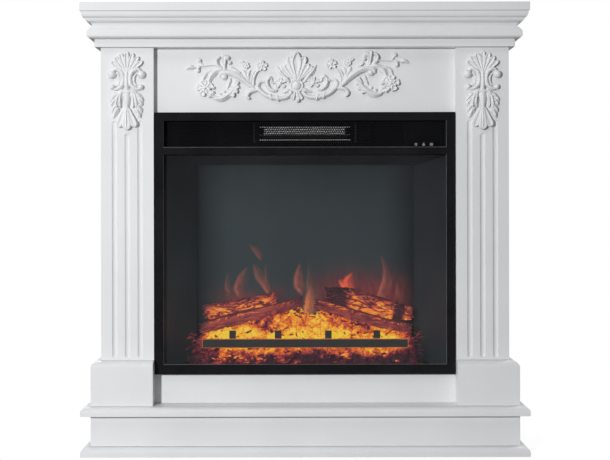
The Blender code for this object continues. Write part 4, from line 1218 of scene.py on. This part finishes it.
def button_icons():
    """A raised generic sign on each button: a ring with a bar, a flame and three waves."""
    s = Shader("icon_print")
    s.set(base_color=s.mix(s.noise(900.0), (0.42, 0.42, 0.44), (0.60, 0.60, 0.62)), roughness=0.5)
    printed = s.material
    for name in ("power", "flame", "heater"):
        low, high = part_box(f"button_{name}")
        x, z = (low.x + high.x) / 2, (low.z + high.z) / 2
        y = low.y - 0.00012
        paths = []
        if name == "power":
            turns = np.linspace(math.radians(60), math.radians(-240), 15)
            ring = [(2.4 * math.cos(a), 2.4 * math.sin(a)) for a in turns]
            paths = [ring, [(0, 0.4), (0, 1.6), (0, 3.0)]]
        elif name == "flame":
            left = [(0, -2.9), (-2.1, -1.9), (-2.2, 0.1), (-0.6, 1.6)]
            right = [(0.2, 3.2), (1.4, 1.2), (2.3, -0.4), (1.9, -2.0), (0, -2.9)]
            paths = [left + right, [(0.0, -1.8), (-0.6, -0.9), (0.3, 0.2)]]
        else:
            for shift in (-2.4, 0, 2.4):
                paths.append([(shift + 0.7 * math.sin(v * 1.6), v) for v in np.linspace(-2.8, 2.8, 8)])
        bm = bmesh.new()
        for path in paths:
            spine = smooth_path(path, 4)
            loops = []
            for i in range(len(spine)):
                d = spine[min(i + 1, len(spine) - 1)] - spine[max(i - 1, 0)]
                d = d / max(1e-9, np.hypot(*d))
                n = np.array([-d[1], d[0]]) * 0.42
                p, q = spine[i] - n, spine[i] + n
                corners = ((p, 0.0003), (p, 0), (q, 0), (q, 0.0003))
                loops.append([(x + at[0] * MM, y + deep, z + at[1] * MM) for at, deep in corners])
            loft(bm, loops)
        icon = object_from_bmesh(f"icon_{name}", bm, printed, smooth=False)
        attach(icon, f"button_{name}")


def make_rear_screws():
    steel = galvanised("screw_zinc", (0.52, 0.52, 0.53))
    low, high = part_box("rear_cover")
    inset = 0.008
    xs = (low.x + inset, (low.x + high.x) / 2, high.x - inset)
    zs = (low.z + inset, (low.z + high.z) / 2, high.z - inset)
    for i, x in enumerate(xs):
        for j, z in enumerate(zs):
            if (i, j) != (1, 1):
                screw_head(f"cover_screw_{i}{j}", (x, high.y, z), steel)


def make_baffle():
    """A folded sheet inside the rear louvres: air passes round it and light doesn't come straight in."""
    metal = coated_metal("baffle_black", (0.006, 0.006, 0.007), 0.6, 0.2, 900.0, 0.00005, 0.1)
    low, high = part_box("rear_cover")
    left, right = low.x + 0.020, high.x - 0.020
    back = low.y - 0.006
    profile = [(back + 0.005, high.z - 0.016), (back, high.z - 0.020)]
    profile += [(back, high.z - 0.110), (back + 0.005, high.z - 0.114)]
    outline = profile + [(y - 0.001, z) for y, z in reversed(profile)]
    bm = bmesh.new()
    loft(bm, [[(x, y, z) for y, z in outline] for x in (left, right)])
    ride_root(object_from_bmesh("rear_baffle", bm, metal, smooth=False))


def make_window_lips():
    """The bright cut edge of the trim's two windows, left where the sheet was folded in, and a painted
    highlight: laid along the bottom and right side, thin on the left and not along the top, where light from
    the left and above picks it out.
    """
    s = Shader("cut_edge")
    worn = s.noise(60.0, 4.0)
    s.set(base_color=s.mix(s.spread(worn, 0.3, 0.7), (0.10, 0.10, 0.105), (0.17, 0.17, 0.175)))
    s.set(roughness=s.spread(worn, 0.3, 0.7, 0.35, 0.5), metallic=0.3)
    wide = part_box("trim_frame")[1].x - 0.0194
    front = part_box("trim_frame")[0].y + 0.0006
    back = front + 0.0022
    for name, (bottom, top) in (("vent", VENT_WINDOW), ("glass", GLASS_WINDOW)):
        bm = bmesh.new()
        # painted highlight: lips along the bottom and right, thin on the left and none on top
        spans = (
            ((-wide, wide), (bottom, bottom + 0.0012)),
            ((-wide, -wide + 0.0005), (bottom + 0.0012, top)),
            ((wide - 0.0012, wide), (bottom + 0.0012, top)),
        )
        for (x0, x1), (z0, z1) in spans:
            loft(bm, [[(x0, y, z0), (x1, y, z0), (x1, y, z1), (x0, y, z1)] for y in (front, back)])
        ride_root(object_from_bmesh(f"window_lip_{name}", bm, s.material, smooth=False))


# ---- Studio ----
LAMP_TARGET = Vector((0, 0, 0.5))


def area_light(name, azimuth, elevation, distance, size, power):
    """A square lamp that points at the middle of the mantel."""
    a, e = math.radians(azimuth), math.radians(elevation)
    offset = Vector((math.sin(a) * math.cos(e), -math.cos(a) * math.cos(e), math.sin(e))) * distance
    data = bpy.data.lights.new(name, "AREA")
    data.shape = "SQUARE"
    data.size = size
    data.energy = power
    light = bpy.data.objects.new(name, data)
    light.location = LAMP_TARGET + offset
    light.rotation_euler = (-offset).to_track_quat("-Z", "Y").to_euler()
    light.visible_camera = False
    bpy.context.scene.collection.objects.link(light)
    return light


def grate_material():
    """Cast grey bar, with a painted glow on its edges for the light behind it."""
    s = Shader("grate_grey")
    grain = s.noise(500.0, 4.0, 0.6)
    s.set(base_color=s.mix(grain, (0.034, 0.031, 0.032), (0.066, 0.060, 0.060)))
    low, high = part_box("fire_grate")
    bar_top = low.z + 0.0207
    rim = 0.0017
    # painted glow: an orange emission laid on the bar's lower, upper and end edges
    lower = s.spread(s.axis("Z"), low.z + rim * 0.6, low.z + rim, 1.0, 0.0)
    upper = s.spread(s.size(s.minus(s.axis("Z"), bar_top)), rim * 0.6, rim, 1.0, 0.0)
    ends = s.spread(s.size(s.axis("X")), high.x - rim, high.x - rim * 0.6)
    edges = s.maths("MAXIMUM", ends, s.maths("MAXIMUM", lower, s.times(upper, 0.8)))
    flicker = s.spread(s.noise(40.0, 2.0), 0.35, 0.65, 0.45, 1.0)
    s.set(emission_color=s.mix(grain, (0.60, 0.12, 0.02), (0.95, 0.34, 0.03)))
    s.set(emission_strength=s.times(s.times(edges, flicker), 0.80))
    s.set(roughness=s.spread(grain, 0.3, 0.7, 0.5, 0.7), specular_ior_level=0.3)
    s.bump(grain, 0.0002, 0.5)
    return s.material


def make_heater_front():
    """What shows through the punched grille: the nozzle's ribs, and the folded fins of the element."""
    s = Shader("fin_aluminium")
    tone = s.noise(220.0, 2.0)
    s.set(base_color=s.mix(tone, (0.80, 0.80, 0.80), (0.95, 0.95, 0.95)))
    s.set(roughness=s.spread(tone, 0.3, 0.7, 0.4, 0.55))
    low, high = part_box("heater_housing")
    half = 0.1030
    bm = bmesh.new()
    for z, thick in ((0.7062, 0.0022), (0.7192, 0.0012), (0.7368, 0.0012), (0.7470, 0.0022)):
        corners = ((-half, z), (half, z), (half, z + thick), (-half, z + thick))
        loft(bm, [[(x, y, height) for x, height in corners] for y in (low.y - 0.0004, low.y + 0.0002)])
    ride_root(object_from_bmesh("nozzle_ribs", bm, s.material, smooth=False))

    low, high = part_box("heating_element")
    bm = bmesh.new()
    folds = 76
    span = high.x - low.x - 0.003
    outline = []
    for i in range(folds + 1):
        x = low.x + 0.0015 + span * i / folds
        outline.append((x, low.y - (0.0055 if i % 2 else 0.0010)))
    outline += [(x, y + 0.0004) for x, y in reversed(outline)]
    loft(bm, [[(x, y, z) for x, y in outline] for z in (low.z + 0.0075, high.z + 0.0010)])
    ride_root(object_from_bmesh("heating_fins", bm, s.material, smooth=False))


def make_studio():
    scene = bpy.context.scene
    scene.view_settings.view_transform = "Standard"
    world = bpy.data.worlds.new("studio")
    world.use_nodes = True
    tree = world.node_tree
    background = tree.nodes["Background"]
    paths = tree.nodes.new("ShaderNodeLightPath")
    mix = tree.nodes.new("ShaderNodeMix")
    mix.data_type = "RGBA"
    mix.inputs[6].default_value = (0.098, 0.099, 0.101, 1)
    mix.inputs[7].default_value = (1, 1, 1, 1)
    tree.links.new(paths.outputs["Is Camera Ray"], mix.inputs[0])
    tree.links.new(mix.outputs[2], background.inputs["Color"])
    scene.world = world
    key = area_light("key", -26, 9.0, 3.4, 0.20, 77)
    side = area_light("side", -64, 30, 2.6, 1.5, 8)
    overhead = area_light("overhead", -8, 50, 2.6, 0.8, 6)
    for light in (key, side, overhead):
        light.visible_glossy = False
    area_light("behind_right", 122, 28, 3.0, 1.6, 62)
    area_light("behind_left", 205, 35, 3.0, 1.6, 40)
    s = Shader("pale_floor")
    tone = s.noise(4.0, 3.0)
    s.set(base_color=s.mix(s.spread(tone, 0.3, 0.7), (0.93, 0.93, 0.93), (0.97, 0.97, 0.97)))
    s.set(roughness=0.6)
    s.set(emission_color=(1.0, 1.0, 1.0), emission_strength=0.30)
    away = s.add("ShaderNodeVectorMath", {0: s.place}, operation="LENGTH").outputs["Value"]
    s.set(alpha=s.spread(away, 0.6, 1.7, 0.24, 0.0))
    size = 1.8
    floor = make_object("floor", [(-size, -size, 0), (size, -size, 0), (size, size, 0), (-size, size, 0)],
                        [(0, 1, 2, 3)], s.material, smooth=False)


def make_camera():
    """Level with the middle of the mantel, straight in front, turned a little about its own line of sight."""
    data = bpy.data.cameras.new("camera")
    data.sensor_width = 36.0
    data.lens = 62.83
    data.shift_y = -0.0295082
    camera = bpy.data.objects.new("camera", data)
    camera.location = (0.0, -2.535, 0.5438)
    camera.rotation_mode = "XYZ"
    camera.rotation_euler = (math.radians(90), math.radians(0.10), 0)
    bpy.context.scene.collection.objects.link(camera)
    bpy.context.scene.camera = camera


def main():
    make_camera()
    make_studio()
    dress_mantel()
    dress_insert()
    make_grille()
    embers = ember_material()
    make_embers(embers)
    make_splinters(embers)
    make_logs()
    make_flames()
    button_icons()
    make_rear_screws()
    make_baffle()
    make_heater_front()
    make_window_lips()


main()
